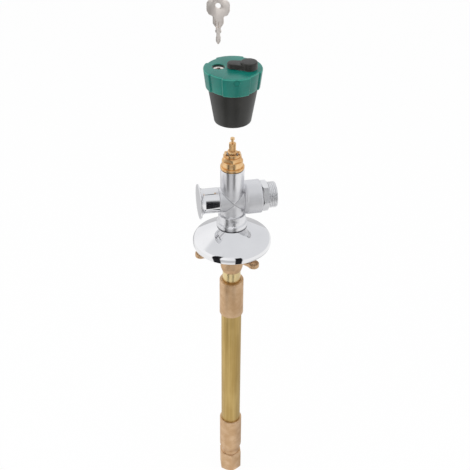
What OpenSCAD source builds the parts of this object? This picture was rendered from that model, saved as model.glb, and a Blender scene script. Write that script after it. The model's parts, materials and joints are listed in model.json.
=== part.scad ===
// Lockable frost free sillcock, shown with its handle lifted off and its key above the lock.
// Frame: origin on the pipe's axis at the wall, +Z out of the wall towards the handle,
// +X towards the hose outlet. Millimetres.

/* [Pipe run] */
// Outside diameter of the long extension tube
tube_od = 22; // [20:0.5:28]
// Wall of the long extension tube
tube_wall = 1.5; // [1:0.1:2]
// Length of the long tube that shows between its two fittings
tube_show = 164.5; // [80:0.5:400]
// Outside diameter of the short neck tube
neck_od = 19.2; // [18:0.1:21]
// Wall of the short neck tube
neck_wall = 2; // [1:0.1:2.5]
// Length of the neck tube that shows below the bracket
neck_show = 12.5; // [6:0.5:40]
// Depth that a tube's end goes into its fitting
socket_depth = 17; // [12:0.5:20]
// Wall of the upper coupling round the long tube
coupling_wall = 1.85; // [1.5:0.05:4]
// Length of the upper coupling
coupling_l = 45.5; // [44:0.5:70]
// Width of the ledge inside a fitting that a tube's end stands on
tube_stop = 1; // [0.6:0.1:1.4]

/* [Inlet fitting] */
// Wall of the fitting's socket round the long tube
inlet_wall = 1.9; // [1.5:0.05:4]
// Length of the fitting's wide socket
inlet_socket_l = 46; // [44:0.5:60]
// Length of the taper below the socket
inlet_taper_l = 6.5; // [3:0.5:12]
// Diameter of the waist between taper and hexagon
waist_d = 21.9; // [20:0.1:24]
// Length of the waist
waist_l = 5.5; // [3:0.5:12]
// Width of the inlet hexagon across its flats
inlet_hex_af = 24; // [23:0.5:30]
// Length of the inlet hexagon
inlet_hex_l = 27.5; // [20:0.5:40]
// Turn of the inlet hexagon about the pipe
inlet_hex_turn = 26; // [0:0.5:60]
// Diameter of the threaded inlet hole at the thread's crests
inlet_d = 18.63; // [15:0.01:19]
// Depth of the threaded inlet hole
inlet_depth = 15; // [10:0.5:18]
// Diameter of the water passage through the seat
seat_d = 10; // [7:0.5:11]
// Height of the raised lip that the washer closes on
seat_lip_h = 2.5; // [1.5:0.1:4]
// Depth of the plunger's chamber below the tube's end
chamber_l = 25; // [22:0.5:28]

/* [Plunger and rod] */
// Distance that the plunger lifts off its seat
lift = 6; // [3:0.5:8]
// Length of the plunger's body above the washer
plunger_l = 22; // [20:0.5:30]
// Thickness of the seat washer
washer_t = 3; // [2:0.1:4]
// Diameter of the operating rod
rod_d = 8; // [7:0.1:9]
// Diameter of the rod's threaded end
rod_thread_d = 6; // [5:0.1:6.5]
// Length of the rod's thread inside the plunger when the valve is shut
thread_grip = 7; // [5:0.5:8]
// Thickness of a rod guide along the tube
guide_t = 8; // [4:0.5:15]

/* [Wall bracket] */
// Wall of the bracket's hub round the neck tube
hub_wall = 2.1; // [1.5:0.1:4]
// Length of the hub below the wall's face
hub_below = 22; // [19:0.5:30]
// Height of the hub above the wall's face
hub_above = 11.5; // [7:0.5:13]
// Length of the tapered end of the hub
hub_taper_l = 5; // [3:0.5:10]
// Narrowing of the hub's tapered end, on its radius
hub_taper = 1.5; // [0.5:0.1:1.6]
// Thickness of a screw lug's eye
lug_t = 4.7; // [3.5:0.1:6]
// Thickness of the arm that carries a lug's eye
lug_arm_t = 3.6; // [2.5:0.1:4.6]
// Diameter of the circle that the three screw holes lie on
lug_pcd = 66; // [58:0.5:66]
// Diameter of a screw hole
lug_hole_d = 5.5; // [4:0.1:6]
// Wall of the eye round a screw hole
lug_eye_wall = 2.85; // [2:0.05:3]
// Turn of the three lugs about the pipe
lug_turn = 1; // [-60:0.5:60]
// Diameter of the hub's spigot inside the body
spigot_d = 20; // [18:0.1:21]
// Length of the hub's spigot inside the body
spigot_l = 18; // [10:0.5:22]
// Diameter of the waterway through the hub and the coupling
waterway_d = 14; // [12:0.1:15]

/* [Rosette] */
// Diameter of the rosette
rosette_d = 80.4; // [80:0.1:100]
// Thickness of the rosette's sheet
rosette_wall = 1; // [0.6:0.1:1]
// Height of the rosette's straight rim
rim_h = 4.6; // [3:0.1:8]
// Radius of the rosette's rounded edge
rim_round = 5.5; // [3:0.1:7]
// Slope of the rosette's top in degrees
rosette_slope = 31; // [20:0.5:34]
// Distance that the rosette slides to the wall
rosette_travel = 12.5; // [8:0.5:24]
// Height of the collar round the rosette's hole
rosette_collar_h = 5.7; // [5:0.1:8]
// Wall of that collar
rosette_collar_wall = 2.35; // [2:0.05:3]

/* [Body] */
// Diameter of the body's neck inside the rosette
body_neck_d = 26; // [25:0.1:27]
// Diameter of the flange above the rosette
flange_d = 31.5; // [30:0.1:36]
// Height of the flange
flange_h = 6; // [4:0.1:9]
// Diameter of the collar with the spanner flats
collar_d = 28; // [27.5:0.1:30]
// Height of that collar
collar_h = 9.3; // [8:0.1:14]
// Width across the spanner flats
flats_af = 26; // [24.5:0.1:27]
// Height of the spanner flats
flats_h = 5.3; // [4:0.1:7]
// Diameter of the body's upright tube
body_d = 23.7; // [23:0.1:25]
// Height of the arms' axis above the spanner collar
arm_rise = 16; // [14:0.5:24]
// Height of the body's top above the arms' axis
body_rise = 35; // [34:0.5:50]
// Diameter of the bore along the body
body_bore_d = 16.5; // [15:0.1:17]

/* [Outlet] */
// Diameter of the outlet boss
boss_d = 34; // [30:0.1:36]
// Distance of the boss's end from the body's axis
boss_reach = 28.7; // [28:0.1:36]
// Rounding of the boss's shoulder towards the body
boss_shoulder = 4; // [1.5:0.1:6]
// Diameter of the connector's spigot inside the boss
outlet_spigot_d = 20; // [19:0.1:22]
// Thickness of the washer behind the connector's hexagon
connector_washer_t = 0.8; // [0.5:0.1:2]
// Width of the connector's hexagon across its flats
connector_af = 27; // [24:0.5:30]
// Length of the connector's hexagon
connector_hex_l = 6; // [5:0.5:12]
// Diameter of the hose thread over its crests
hose_thread_d = 26.44; // [22:0.01:27]
// Length of the hose thread
hose_thread_l = 8.8; // [6:0.1:14]
// Diameter of the connector's open mouth
mouth_d = 18.6; // [17:0.1:20]
// Depth of the connector's open mouth
mouth_depth = 8.3; // [7.5:0.1:9]
// Diameter of the backflow preventer's cage
cage_d = 15.2; // [14:0.1:16]
// Travel of the backflow preventer's poppet
poppet_travel = 4; // [2:0.5:5]
// Wire of the poppet's spring
spring_wire_d = 0.8; // [0.5:0.1:1.2]
// Turns of the poppet's spring
spring_turns = 5; // [3:1:8]

/* [Pipe vent] */
// Diameter of the vent cap's barrel
vent_d = 25.2; // [24:0.1:25.6]
// Distance of the vent cap's open end from the body's axis
vent_start = 14; // [12.2:0.1:15]
// Distance of the vent cap's disc face from the body's axis
vent_reach = 34.5; // [32:0.1:40]
// Diameter of the vent cap's disc
vent_disc_d = 35.4; // [35:0.1:42]
// Thickness of the disc's edge
vent_disc_t = 1.6; // [1:0.1:2]
// Radius of the flare between barrel and disc
vent_flare = 4.8; // [3:0.1:4.9]
// Diameter of the body's vent nipple
nipple_d = 15; // [14:0.1:16]
// Length of the body's vent nipple
nipple_l = 6; // [5:0.1:6.5]
// Travel of the vent's float
float_travel = 3; // [1:0.5:3.5]
// Diameter of an air port
port_d = 2.6; // [1.5:0.1:3]

/* [Bonnet and spindle] */
// Diameter of the bonnet's flange
bonnet_flange_d = 23.8; // [23:0.1:25]
// Height of the bonnet's flange
bonnet_flange_h = 2.4; // [1.5:0.1:5]
// Thickness of the gasket under the flange
gasket_t = 0.8; // [0.5:0.1:2]
// Diameter of the round band above the flange
bonnet_band_d = 20.8; // [20:0.1:22]
// Height of that band
bonnet_band_h = 6.5; // [3:0.5:9]
// Width of the bonnet's hexagon across its flats
bonnet_af = 18.5; // [18:0.5:19.5]
// Height of the bonnet's hexagon with its dome
bonnet_hex_h = 4.3; // [3.5:0.1:8]
// Radius of the dome over the hexagon's corners
bonnet_dome = 3; // [1.5:0.1:3.4]
// Turn of the bonnet's hexagon about the pipe
bonnet_hex_turn = 25.5; // [0:0.5:60]
// Diameter of the bonnet's slotted crown
crown_d = 16; // [15:0.1:17]
// Height of the crown
crown_h = 4.4; // [3.5:0.1:6]
// Depth of the crown's recess
crown_recess = 3; // [2:0.1:3.4]
// Width of the crown's slots
crown_slot_w = 4.5; // [2:0.1:5]
// Turn of the crown's slots about the pipe
crown_turn = 38; // [0:1:90]
// Diameter of the bonnet's spigot inside the body
bonnet_spigot_d = 18; // [17.5:0.1:19]
// Length of that spigot
bonnet_spigot_l = 16; // [15:0.5:18]
// Diameter of the spindle's shaft
shaft_d = 9; // [8.5:0.1:9.5]
// Diameter of the serrated part over its teeth
serration_d = 6.8; // [6:0.1:7.4]
// Depth of a tooth
serration_depth = 0.4; // [0.2:0.05:0.6]
// Number of teeth
serration_n = 20; // [12:1:28]
// Length of the serrated part
serration_l = 8.5; // [8:0.5:12]
// Diameter of the locking groove
groove_d = 2.4; // [2.2:0.1:3.6]
// Width of the locking groove
groove_w = 2.9; // [1.8:0.1:3]
// Diameter of the spindle's tip
tip_d = 4.2; // [4:0.1:5]
// Length of the spindle's tip
tip_l = 2; // [1.5:0.1:4]

/* [Handle] */
// Distance that the handle is lifted off its seat
handle_lift = 52.5; // [40:0.5:70]
// Turn of the handle about the pipe
handle_turn = -19.5; // [-180:0.5:180]
// Turn of the cap's panels from the cover's direction
panel_turn = 15.5; // [-45:0.5:45]
// Height of the black skirt
skirt_h = 35; // [34:0.5:45]
// Outer radius of the skirt near its lower edge
skirt_low_r = 17.4; // [16.5:0.1:19]
// Outer radius of the skirt at its upper edge
skirt_high_r = 23.2; // [23:0.1:25]
// Wall of the skirt
skirt_wall = 2; // [1.5:0.1:2.5]
// Rounding of the skirt's lower edge
skirt_round = 1.2; // [0.8:0.1:3.5]
// Height of the green cap
cap_h = 18; // [17:0.5:24]
// Outer radius of the cap's panels at their lower edge
cap_low_r = 25.1; // [24.5:0.1:28]
// Outer radius of the cap's panels at the top
cap_high_r = 27.3; // [27:0.1:30]
// Depth of the flutes between the panels
flute_depth = 1.7; // [1:0.1:2]
// Width of a flute in degrees
flute_angle = 32; // [20:1:45]
// Thickness of the cap's top
cap_top_t = 3.2; // [2.5:0.1:4]
// Rounding of the cap's top edge
cap_round = 1.2; // [0.5:0.1:1.6]
// Diameter of the half-moon thumb marks near the panels' upper edge
mark_d = 7; // [4:0.5:9]
// Outer diameter of the serrated hub
hub_od = 12; // [10.5:0.5:14]

/* [Lock] */
// Distance of the lock's axis from the spindle's axis
lock_offset = 13.4; // [13.2:0.1:14]
// Diameter of the lock's housing
lock_d = 11; // [10.5:0.1:11.2]
// Diameter of the keyhole's recess in the cap
keyhole_d = 12; // [11.5:0.1:12.6]
// Depth of the lock's face below the cap's top
keyhole_depth = 3.5; // [2.5:0.1:4.5]
// Diameter of the turning plug
plug_d = 8; // [7.4:0.1:8.4]
// Width of the narrow cover bar
cover_bar_w = 10.8; // [9:0.1:12]
// Height of the cover bar
cover_bar_h = 4.6; // [3.5:0.1:6]
// Diameter of the cover's round end
cover_disc_d = 15.6; // [14.5:0.1:17]
// Height of the cover's round end
cover_disc_h = 6.6; // [5:0.1:9]
// Diameter of the stud that the cover swings on
stud_d = 5; // [4:0.1:6]

/* [Key] */
// Height of the key above its seated place
key_lift = 39.5; // [30:0.5:60]
// Length of the blade
blade_l = 15; // [13:0.5:17]
// Width of the blade
blade_w = 4.4; // [3.5:0.1:5]
// Thickness of the key
key_t = 2; // [1.5:0.1:2.4]
// Width of the shoulder
shoulder_w = 9.7; // [8:0.1:10]
// Length of the shoulder between blade and bow
shoulder_l = 11.8; // [10:0.1:16]
// Width of the bow
bow_w = 20.5; // [18:0.1:26]
// Height of the bow
bow_h = 13.4; // [12:0.1:20]
// Diameter of the hole in the bow
bow_hole_d = 4.9; // [3:0.1:6]

/* [Clearances] */
// Radial gap of a shaft that turns in its bore
run_gap = 0.05; // [0.03:0.01:0.08]
// Gap between pieces that slide along each other
slide_gap = 0.25; // [0.15:0.05:0.35]
// Gap between moving pieces that rest on each other
rest_gap = 0.3; // [0.2:0.05:0.4]
// Gap between pieces that are screwed or pressed together
fit_gap = 0.02; // [0.01:0.01:0.04]

/* [Hidden] */
$fn = 64;
arc_steps = 8;
over = 1; // how far a cutter runs past the face that it cuts
edge = 0.5; // width of a broken edge
lugs = 3;
panels = 4;

chrome = [0.82, 0.83, 0.85];
satin_chrome = [0.74, 0.75, 0.77];
brass = [0.80, 0.64, 0.32];
gunmetal = [0.78, 0.60, 0.43];
steel = [0.40, 0.39, 0.38];
nickel = [0.76, 0.72, 0.68];
rubber = [0.10, 0.10, 0.10];
black_plastic = [0.15, 0.15, 0.14];
green_plastic = [0.11, 0.47, 0.40];
white_plastic = [0.88, 0.88, 0.85];

// Pipe run, from the wall down
tube_ir = tube_od / 2 - tube_wall;
hub_r = neck_od / 2 + hub_wall;
neck_top = socket_depth - hub_below;
coupling_top = -hub_below - neck_show;
neck_bottom = coupling_top - socket_depth;
coupling_bottom = coupling_top - coupling_l;
coupling_r = tube_od / 2 + coupling_wall;
tube_top = coupling_bottom + socket_depth;
fitting_top = coupling_bottom - tube_show;
tube_bottom = fitting_top - socket_depth;
fitting_r = tube_od / 2 + inlet_wall;
inlet_socket_bottom = fitting_top - inlet_socket_l;
waist_top = inlet_socket_bottom - inlet_taper_l;
inlet_hex_top = waist_top - waist_l;
pipe_end = inlet_hex_top - inlet_hex_l;
chamber_r = tube_ir - tube_stop;
chamber_floor = tube_bottom - chamber_l;
seat_top = chamber_floor + seat_lip_h;
seat_lip_w = 1.2;
fitting_edge = 0.8;
inlet_chamfer = 1.8;
key_rib_w = 3;

// Plunger and rod
shut_gap = 0.1;
washer_z = seat_top + shut_gap;
washer_r = seat_d / 2 + 1.6;
plunger_r = chamber_r - slide_gap;
plunger_z = washer_z + washer_t;
plunger_top = plunger_z + plunger_l;
washer_cup = washer_t / 2;
screw_head_r = 3;
screw_head_h = 1.8;
screw_r = 1.5;
screw_l = 4.5;
rod_end = plunger_top - thread_grip;
rod_shoulder = plunger_top + lift + over;
bore_depth = thread_grip + lift + over;
lug_waist = 0.8;
plunger_flute_r = 2;
plunger_flute_at = plunger_r + 0.4;
guide_wall = 1.5;
guide_spots = [for (share = [0.3, 0.7]) tube_top + (tube_bottom - tube_top) * share];

// Rosette
rosette_r = rosette_d / 2;
rim_centre_r = rosette_r - rim_round;
body_neck_r = body_neck_d / 2;
rosette_hole_r = body_neck_r + slide_gap;
land_r = rosette_hole_r + rosette_collar_wall;
edge_end_r = rim_centre_r + rim_round * sin(rosette_slope);
edge_end_h = rim_h + rim_round * cos(rosette_slope);
rosette_h = edge_end_h + (edge_end_r - land_r) * tan(rosette_slope);
rosette_top = rosette_travel + rosette_h;
ring_t = 1.9;
ring_z = rosette_top - rosette_collar_h + 1.5;
ring_r = rosette_hole_r + rosette_collar_wall / 2;

// Body
flange_z = rosette_top + rest_gap;
collar_z = flange_z + flange_h;
arm_z = collar_z + collar_h + arm_rise;
body_top = arm_z + body_rise;
body_r = body_d / 2;
body_bore_r = body_bore_d / 2;
flange_round = flange_h / 2;
flange_arc = 60;
collar_step = 1;
collar_fillet = collar_d / 2 - body_r;
collar_top_z = collar_z + collar_h - collar_step;
bonnet_room = 2;
spigot_top = hub_above + spigot_l;
boss_start = body_r - 1.2;
boss_chamfer = 1.2;
outlet_bore_start = boss_reach - 15.5;
outlet_port_r = 6;

// Outlet
connector_chamfer = 1.6;
thread_chamfer = 0.8;
connector_z = boss_reach + connector_washer_t;
connector_hex_end = connector_z + connector_hex_l;
outlet_end = connector_hex_end + hose_thread_l;
cage_r = cage_d / 2 - fit_gap;
cage_start = outlet_bore_start + 1.5;
cage_end = outlet_end - mouth_depth - 0.5;
cage_wall = 1.2;
cage_seat_r = cage_r - cage_wall - 1.4;
cage_seat_end = cage_start + 2.5;
cage_hole_r = 0.26 * cage_r;
cage_hole_at = 0.55 * cage_r;
seal_depth = 0.7;
seal_low = cage_start + 0.8;
seal_high = seal_low + 1.4;
spider_t = 2;
spider_start = cage_end - spider_t;
poppet_z = cage_seat_end + shut_gap;
poppet_r = cage_r - cage_wall - slide_gap;
poppet_disc_t = 2;
poppet_stem_r = 1.5;
poppet_end = spider_start + spider_t;
poppet_stop_r = poppet_stem_r + 0.45;
poppet_stop = spider_start - poppet_travel - shut_gap;
spring_r = poppet_stem_r + slide_gap + spring_wire_d;
spring_start = poppet_z + poppet_disc_t;

// Pipe vent
vent_r = vent_d / 2;
vent_arm_r = vent_r - 0.15;
port_spread = 40;
nipple_end = vent_start + nipple_l;
nipple_bore_r = 4.5;
float_chamber_r = nipple_d / 2 + 1;
float_z = nipple_end + rest_gap;
float_t = 2.6;
float_r = float_chamber_r - slide_gap;
vent_ring_t = 0.8;
vent_ring_end = float_z + float_t + float_travel + shut_gap + vent_ring_t;
float_seat_r = 4.2;
float_pin_r = 2.2;
float_pin_l = vent_ring_t + 1.2;
vent_chamber_end = vent_reach - vent_disc_t - 0.8;
port_x = (vent_ring_end + vent_chamber_end) / 2 + 0.3;

// Bonnet and spindle
bonnet_z = body_top + gasket_t;
bonnet_band_z = bonnet_z + bonnet_flange_h;
bonnet_band_r = bonnet_band_d / 2;
bonnet_hex_z = bonnet_band_z + bonnet_band_h;
crown_z = bonnet_hex_z + bonnet_hex_h;
crown_top = crown_z + crown_h;
crown_floor = crown_top - crown_recess;
bonnet_bottom = bonnet_z - bonnet_spigot_l;
shaft_r = shaft_d / 2;
shaft_bore_r = shaft_r + run_gap;
collar_top = bonnet_bottom - shut_gap;
stem_collar_h = 3.5;
stem_collar_r = shaft_r + 2;
tang_top = collar_top - stem_collar_h;
tang_af = 6;
tang_l = 14;
rod_head_r = shaft_r + 1.25;
rod_head_bottom = tang_top - tang_l - 4;
pin_r = 1;
pin_z = tang_top - tang_l / 2;
o_ring_groove_r = shaft_r - 1.3;
o_ring_groove_w = 2;
o_ring_wire_r = (shaft_bore_r - o_ring_groove_r) / 2 - fit_gap;
o_ring_spots = [for (k = [1, 2]) bonnet_z - 4 * k];
clip_t = 1;
clip_z = crown_floor + shut_gap;
clip_groove_r = shaft_r - 1;
clip_r = shaft_r + 1.1;
clip_open = 80;
clip_turn = -55;
clip_room = 0.6;
dome_arc = 65;
serration_z = crown_top + over;
serration_r = serration_d / 2;
serration_top = serration_z + serration_l;
groove_z = serration_top + 0.8;
spindle_top = groove_z + groove_w + tip_l;

// Handle, lifted
skirt_z = body_top + handle_lift;
cap_z = skirt_z + skirt_h;
cap_top = cap_z + cap_h;
skirt_lip = 3;
skirt_lip_w = 1.2;
skirt_mouth_r = skirt_low_r - skirt_wall - skirt_lip_w;
hub_z = serration_z + handle_lift;
web_t = 3;
web_top = hub_z + serration_l;
spigot_wall = 1.35;
cap_inner_r = skirt_high_r - 1.9;
cap_spigot_r = cap_inner_r - fit_gap;
cap_spigot_h = 5;
cap_ceiling = cap_top - cap_top_t;
stud_boss_wall = 2;
stud_boss_z = cap_ceiling - 2;
cap_hollow_top = cap_z + cap_spigot_h + 0.5;
taper = (cap_high_r - cap_low_r) / cap_h;
mark_cut = 0.7;
mark_z = cap_top - cap_round - 0.4 - mark_d / 2;

// Lock
cam_z = groove_z + handle_lift + 0.4;
cam_t = groove_w - 0.8;
cam_top = cam_z + cam_t;
cam_reach = lock_offset - groove_d / 2 - 0.1;
cam_tip_r = 1.2;
cam_hub_r = plug_d / 2 + 0.8;
lock_r = lock_d / 2;
lock_face = cap_top - keyhole_depth;
lock_bottom = cam_top + rest_gap;
lock_lip = 0.6;
plug_r = plug_d / 2;
plug_top = lock_face - lock_lip - shut_gap;
plug_lip_r = plug_r - 0.6;
tail_r = 2.2;
tail_l = cam_t + 0.5;
lock_boss_r = lock_r + 1.6;
stud_r = stud_d / 2;
cover_z = cap_top + rest_gap;
cover_reach = lock_offset + 1.2;
clip_wall = 2.4;
cover_clip_t = 0.8;
cover_clip_z = stud_boss_z - rest_gap - cover_clip_t;

// Key, drawn upright with its tip at z = 0
key_seat = lock_face + 0.5;
key_z = key_seat - blade_l + key_lift;
keyway_floor = key_seat - blade_l - 0.5;
tip_taper = 4;
bump = 0.6;
bow_round = 4.6;
bow_z = blade_l + shoulder_l;
key_lug_w = 8;
key_lug_h = 3.3;
bow_hole_z = bow_z + bow_h - 4.2;

// Points along an arc, by centre, radius and the two angles
function arc(centre, r, from, to) = [
    for (i = [0 : arc_steps])
        let (a = from + (to - from) * i / arc_steps)
            [centre[0] + r * cos(a), centre[1] + r * sin(a)]
];

// A tooth profile: the radius goes up and down round the circle
function teeth(r, depth, n) = [
    for (i = [0 : 2 * n - 1])
        let (a = 180 * i / n, d = r - (i % 2) * depth)
            [d * cos(a), d * sin(a)]
];

// A straight cylinder between two heights
module post(r, low, high) {
    translate([0, 0, low]) cylinder(r = r, h = high - low);
}

// A ring between two heights
module ring(outer, inner, low, high) {
    difference() {
        post(outer, low, high);
        post(inner, low - over, high + over);
    }
}

// A hexagon bar between two heights, with its corners turned off by a chamfer at each end
module hex_bar(af, low, high, chamfer) {
    corner = af / sqrt(3);
    intersection() {
        translate([0, 0, low]) cylinder(d = 2 * corner, h = high - low, $fn = 6);
        rotate_extrude() polygon([
            [0, low], [corner - chamfer, low], [corner, low + chamfer / 2],
            [corner, high - chamfer / 2], [corner - chamfer, high], [0, high]
        ]);
    }
}

// A flat outline of two round ends joined by their tangents
module strap(r1, r2, reach) {
    lean = asin((r1 - r2) / reach);
    polygon(concat(arc([0, 0], r1, 90 - lean, 270 + lean), arc([reach, 0], r2, lean - 90, 90 - lean)));
}

// A piece drawn upright, laid along the outlet arm
module outlet_place() {
    translate([0, 0, arm_z]) rotate([0, 90, 0]) children();
}

// A piece drawn upright, laid along the vent arm
module vent_place() {
    translate([0, 0, arm_z]) rotate([0, -90, 0]) children();
}

// A piece drawn in the handle's own direction, with x towards the cover
module handle_place() {
    rotate([0, 0, handle_turn]) children();
}

// A piece drawn on the lock's axis
module lock_place() {
    handle_place() translate([-lock_offset, 0, 0]) children();
}

// Cast cross: neck, flange, spanner collar, upright tube, vent arm and outlet boss
module valve_body() {
    color(satin_chrome) difference() {
        union() {
            rotate_extrude() polygon(concat(
                [[0, hub_above], [body_neck_r, hub_above], [body_neck_r, flange_z]],
                [[flange_d / 2 - edge, flange_z], [flange_d / 2, flange_z + edge]],
                arc([flange_d / 2 - flange_round, flange_z + flange_round], flange_round, 0, flange_arc),
                [[collar_d / 2, collar_z], [collar_d / 2, collar_top_z]],
                arc([collar_d / 2, collar_top_z + collar_fillet], collar_fillet, 270, 180),
                [[body_r, body_top - edge], [body_r - edge, body_top], [0, body_top]]
            ));
            vent_place() post(vent_arm_r, 0, vent_start);
            vent_place() post(nipple_d / 2 - fit_gap, 0, nipple_end);
            outlet_place() rotate_extrude() polygon(concat(
                [[0, 0], [body_r, 0], [body_r, boss_start]],
                arc([boss_d / 2 - boss_shoulder, boss_start + boss_shoulder], boss_shoulder, -90, 0),
                [[boss_d / 2, boss_reach - boss_chamfer], [boss_d / 2 - boss_chamfer, boss_reach], [0, boss_reach]]
            ));
        }
        post(spigot_d / 2 + fit_gap, hub_above - over, spigot_top + fit_gap);
        post(body_bore_r, hub_above, body_top + over);
        post(bonnet_spigot_d / 2 + fit_gap, bonnet_bottom - bonnet_room, body_top + over);
        vent_place() post(nipple_bore_r, 0, nipple_end + over);
        outlet_place() post(outlet_port_r, 0, boss_reach);
        outlet_place() post(outlet_spigot_d / 2 + fit_gap, outlet_bore_start, boss_reach + over);
        for (side = [0, 180]) rotate([0, 0, side])
            translate([-collar_d / 2, flats_af / 2, collar_z + collar_h - flats_h])
                cube([collar_d, collar_d, flats_h]);
    }
}

// Mushroom shaped cap of the pipe vent, with its air ports on the far side
module vent_cap() {
    neck_x = vent_reach - vent_disc_t - vent_flare;
    color(chrome) vent_place() difference() {
        rotate_extrude() polygon(concat(
            [[0, vent_start + fit_gap], [vent_r - edge, vent_start + fit_gap], [vent_r, vent_start + edge]],
            arc([vent_r + vent_flare, neck_x], vent_flare, 180, 90),
            [[vent_disc_d / 2, vent_reach - vent_disc_t], [vent_disc_d / 2, vent_reach - edge],
             [vent_disc_d / 2 - edge, vent_reach], [0, vent_reach]]
        ));
        post(nipple_d / 2, vent_start - over, nipple_end + fit_gap);
        post(float_chamber_r, nipple_end, vent_ring_end);
        post(float_seat_r, vent_start, vent_chamber_end);
        for (a = [-port_spread, 0, port_spread]) translate([0, 0, port_x]) rotate([0, 0, a + 90]) rotate([0, 90, 0])
            cylinder(d = port_d, h = vent_disc_d);
    }
}

// Loose disc that water lifts to shut the air ports
module vent_float() {
    color(white_plastic) vent_place() {
        post(float_r, float_z, float_z + float_t);
        post(float_pin_r, float_z + float_t, float_z + float_t + float_pin_l);
    }
}

// Seal that the float shuts on
module vent_seat_ring() {
    color(rubber) vent_place()
        ring(float_chamber_r - fit_gap, float_seat_r + edge, vent_ring_end - vent_ring_t, vent_ring_end);
}

// Hexagon nipple with the hose thread's plain cylinder
module hose_connector() {
    color(chrome) outlet_place() difference() {
        union() {
            post(outlet_spigot_d / 2, outlet_bore_start + fit_gap, connector_z);
            rotate([0, 0, 30]) hex_bar(connector_af, connector_z, connector_hex_end, connector_chamfer);
            rotate_extrude() polygon([
                [0, connector_z], [hose_thread_d / 2, connector_z + connector_hex_l / 2],
                [hose_thread_d / 2, outlet_end - thread_chamfer], [hose_thread_d / 2 - thread_chamfer, outlet_end],
                [0, outlet_end]
            ]);
        }
        post(cage_d / 2, cage_start, outlet_end);
        post(cage_seat_r, outlet_bore_start - over, outlet_end);
        post(mouth_d / 2, outlet_end - mouth_depth, outlet_end + over);
    }
}

module connector_washer() {
    color(rubber) outlet_place()
        ring(connector_af / 2 - edge, outlet_spigot_d / 2 + fit_gap, boss_reach, connector_z);
}

// Cage of the backflow preventer: a seat, a wall with windows and a spider that guides the stem
module check_valve_cage() {
    color(white_plastic) outlet_place() difference() {
        post(cage_r, cage_start + fit_gap, cage_end);
        post(cage_seat_r, cage_start - over, cage_seat_end + over);
        post(cage_r - cage_wall, cage_seat_end, spider_start);
        post(poppet_stem_r + slide_gap, spider_start - over, cage_end + over);
        for (a = [45 : 90 : 315]) rotate([0, 0, a]) translate([cage_hole_at, 0, 0])
            post(cage_hole_r, spider_start - over, cage_end + over);
        ring(cage_r + over, cage_r - seal_depth, seal_low, seal_high);
    }
}

module check_valve_poppet() {
    color(white_plastic) outlet_place() {
        rotate_extrude() polygon([
            [0, poppet_z], [poppet_r - edge, poppet_z], [poppet_r, poppet_z + edge],
            [poppet_r, poppet_z + poppet_disc_t], [0, poppet_z + poppet_disc_t]
        ]);
        post(poppet_stop_r, poppet_z, poppet_stop);
        post(poppet_stem_r, poppet_z, poppet_end);
    }
}

// Coil spring behind the poppet: one wire swept along a helix
module check_valve_spring() {
    sides = 6;
    steps = 12 * spring_turns;
    wire_r = spring_wire_d / 2;
    low = spring_start + wire_r + fit_gap;
    high = spider_start - wire_r - fit_gap;
    points = [
        for (i = [0 : steps], k = [0 : sides - 1])
            let (turn = 360 * spring_turns * i / steps, a = 360 * k / sides,
                 r = spring_r + wire_r * cos(a), z = low + (high - low) * i / steps + wire_r * sin(a))
                [r * cos(turn), r * sin(turn), z]
    ];
    walls = [
        for (i = [0 : steps - 1], k = [0 : sides - 1], half = [0, 1])
            let (a = i * sides + k, b = i * sides + (k + 1) % sides)
                half == 0 ? [a, a + sides, b] : [b, a + sides, b + sides]
    ];
    ends = [
        for (k = [1 : sides - 2], last = [0, 1])
            let (base = last * steps * sides)
                last == 0 ? [base, base + k, base + k + 1] : [base, base + k + 1, base + k]
    ];
    color(steel) outlet_place() polyhedron(points, concat(walls, ends));
}

module check_valve_o_ring() {
    color(rubber) outlet_place()
        ring(cage_r, cage_r - seal_depth + fit_gap, seal_low + fit_gap, seal_high - fit_gap);
}

// Brass head: spigot, flange, round band, domed hexagon and a slotted crown
module bonnet() {
    dome_r = bonnet_band_r - edge / 2;
    color(brass) difference() {
        union() {
            post(bonnet_spigot_d / 2, bonnet_bottom, bonnet_z + over);
            post(bonnet_flange_d / 2, bonnet_z, bonnet_band_z);
            post(bonnet_band_r, bonnet_z, bonnet_hex_z);
            intersection() {
                translate([0, 0, bonnet_hex_z - over]) rotate([0, 0, bonnet_hex_turn])
                    cylinder(r = bonnet_af / sqrt(3), h = bonnet_hex_h + over, $fn = 6);
                rotate_extrude() polygon(concat(
                    [[0, bonnet_hex_z - over], [dome_r, bonnet_hex_z - over]],
                    arc([dome_r - bonnet_dome, crown_z - bonnet_dome], bonnet_dome, 0, dome_arc),
                    [[crown_d / 2 - over, crown_z], [0, crown_z]]
                ));
            }
            post(crown_d / 2, crown_z - over, crown_top);
        }
        post(shaft_bore_r, bonnet_bottom - over, crown_top);
        post(clip_r + clip_room, crown_floor, crown_top + over);
        for (side = [0, 90]) rotate([0, 0, crown_turn + side])
            translate([-crown_d / 2 - over, -crown_slot_w / 2, crown_floor + edge])
                cube([crown_d + 2 * over, crown_slot_w, crown_recess + over]);
    }
}

module bonnet_gasket() {
    color(rubber) ring(bonnet_flange_d / 2 - edge, bonnet_spigot_d / 2 + fit_gap, body_top, bonnet_z);
}

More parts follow.
